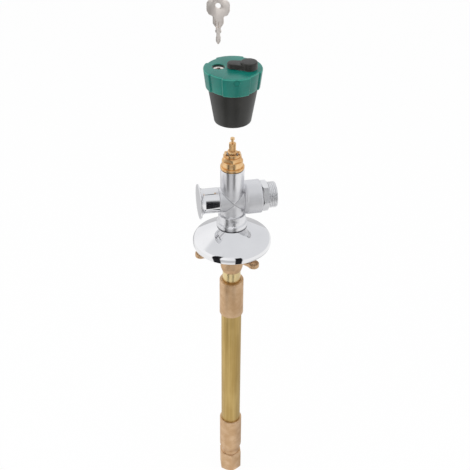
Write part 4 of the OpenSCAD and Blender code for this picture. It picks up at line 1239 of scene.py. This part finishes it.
# %% Key
RING_HOLE_R, RING_HOLE_Y = 2.45, 35.2
STAMPS = ((-2.4, -1.0, 14.8, 22.8), (0.2, 1.3, 15.4, 20.6))
half_key = [
    (0.5, 0, 0.4),
    (2.0, 2.6, 1.2),
    (2.2, 6, 0.6),
    (1.6, 8, 0.6),
    (1.6, 10, 0.4),
    (2.8, 11.4, 0.3),
    (2.8, 12.2, 0.3),
    (2.2, 13.4, 0.3),
    (2.2, 15, 0.6),
    (4.85, 19.2, 1.0),
    (4.85, 25.6, 1.2),
    (8.2, 26.8, 2.0),
    (10.25, 30.4, 3.0),
    (10.25, 40.2, 4.2),
    (4, 40.2, 0.8),
    (4, 43.5, 1.5),
]
other_half = [(-point[0], *point[1:]) for point in reversed(half_key)]
blank = slab("door_key", half_key + other_half, -1, 1)
carve(blank, moved(drum(RING_HOLE_R, -2, 2, steps=40), y=RING_HOLE_Y))
soften(blank, 0.22, 50, 2)
for x0, x1, y0, y1 in STAMPS:
    carve(blank, slab("stamp", [(x0, y0, 0.3), (x1, y0, 0.3), (x1, y1, 0.3), (x0, y1, 0.3)], -0.8, 2))
moved(blank, tilt=(90, 0, 0))
moved(blank, x=lock_x, z=box("key")[0].z)
moved(blank, tilt=(0, 0, HANDLE_TURN))
show(blank, "key", "key", smooth=30)

# %% [markdown]
# ## The pipe
#
# Two drawn tubes are soldered into three castings. The tubes and the coupling are turned
# sections. The end fitting has a hexagon for the spanner and a female pipe thread, which is
# the same kind of ridge as the hose thread, on the inside of the bore.

# %% Tubes and coupling
tube_low, tube_high = box("extension_tube")
neck_low, neck_high = box("neck_tube")
coupling_low, coupling_high = box("upper_coupling")
for name, node, outer, inner, low, high in (
    ("long_pipe", "extension_tube", 11, 9.5, tube_low.z, tube_high.z),
    ("short_pipe", "neck_tube", 9.6, 7.6, neck_low.z, neck_high.z),
):
    pipe = turned(
        name, [(inner, low), (outer, low, 0.3), (outer, high, 0.3), (inner, high)], closed=True, steps=128
    )
    show(pipe, "fixed", node)
coupling = turned(
    "coupling",
    [
        (11.02, coupling_low.z, 0.3),
        (12.85, coupling_low.z, 0.9),
        (12.85, coupling_high.z, 0.9),
        (9.62, coupling_high.z, 0.4),
        (9.62, neck_low.z - FIT),
        (7, neck_low.z - FIT),
        (7, tube_high.z + FIT),
        (11.02, tube_high.z + FIT),
    ],
    closed=True,
    steps=128,
)
show(coupling, "fixed", "upper_coupling")

# %% End fitting
end_low, end_high = box("seat_fitting")
end_z, end_top = end_low.z, end_high.z
fitting = turned(
    "end_fitting",
    [
        (0, end_z + 26),
        (10.95, end_z + 26),
        (10.95, end_z + 33, 1.5),
        (12.9, end_z + 39.5, 2),
        (12.9, end_top, 0.9),
        (0, end_top),
    ],
    steps=128,
)
carve(fitting, hexagon(24, end_z, end_z + 27.5, 1.8, 26), how="UNION")
soften(fitting, 0.35, 28, 2)
chamber = turned(
    "chamber",
    [
        (0, end_z - 1),
        (10.35, end_z - 1),
        (10.35, end_z + 14.6),
        (5, end_z + 14.6),
        (5, end_z + 46),
        (6.2, end_z + 46),
        (6.2, end_z + 43.5),
        (8.5, end_z + 43.5),
        (8.5, tube_low.z - FIT),
        (11.02, tube_low.z - FIT),
        (11.02, end_top + 1),
        (0, end_top + 1),
    ],
)
key_slot = slab("key_slot", [(-1.75, -9.5), (1.75, -9.5), (1.75, 9.5), (-1.75, 9.5)], end_z + 46, end_top)
carve(fitting, chamber, key_slot)
inner_thread = moved(thread("inner_thread", 10.7, 9.4, PITCH, 7), z=end_z + 1.2)
carve(inner_thread, drum(10.9, end_z + 0.8, end_z + 13.6, steps=96), how="INTERSECT")
carve(fitting, inner_thread, how="UNION")
show(fitting, "fixed", "seat_fitting", smooth=30)

# %% [markdown]
# The bracket is cast like the cross: a tapered hub with three straps and an eye at the end of
# each. The forms are joined, meshed again and smoothed, and then the holes are drilled.

# %% Wall bracket
EYES, REACH, EYE_R, SCREW_R = (61, 181, 301), 33, 5.6, 2.75
EYE_T, STRAP_T = 4.7, 3.6
hub_low, hub_high = box("wall_bracket")
bracket = turned(
    "bracket",
    [(0, hub_low.z), (10.2, hub_low.z, 0.6), (11.7, hub_low.z + 5), (11.7, foot - FIT, 0.4), (0, foot - FIT)],
)
for turn in EYES:
    strap = slab("strap", [(0, -10.7), (REACH, -4.8), (REACH, 4.8), (0, 10.7)], FIT, STRAP_T)
    eye = moved(drum(EYE_R, FIT, EYE_T), x=REACH)
    carve(strap, eye, how="UNION")
    carve(bracket, moved(strap, tilt=(0, 0, turn)), how="UNION")
cast(bracket, grain=0.45, rounds=8)
spigot = drum(10, 9, hub_high.z, steps=96)
carve(bracket, spigot, how="UNION")
hub_bore = turned(
    "hub_bore",
    [
        (0, hub_low.z - 1),
        (9.62, hub_low.z - 1),
        (9.62, neck_high.z + FIT),
        (7, neck_high.z + FIT),
        (7, hub_high.z + 1),
        (0, hub_high.z + 1),
    ],
)
holes = []
for turn in EYES:
    angle = math.radians(turn)
    holes.append(moved(drum(SCREW_R, -1, 6, steps=32), REACH * math.cos(angle), REACH * math.sin(angle)))
carve(bracket, hub_bore, *holes)
show(bracket, "fixed", "wall_bracket", smooth=40)

# %% [markdown]
# The photograph is a montage: the handle was laid above the tap afterwards, so the chrome
# doesn't mirror it. Its shell is left out of reflections in the same way.

# %% Leave the handle's shell out of reflections
for piece in (skirt, cap, frame["nodes"]["handle_hub"]):
    piece.visible_glossy = False
    print("not mirrored:", piece.name)

# %% [markdown]
# ## The view
#
# The dressed model stays inside the box of the CAD parts. The Standard view shows a colour
# about as it is written.

# %% The view transform
bpy.context.scene.view_settings.view_transform = "Standard"
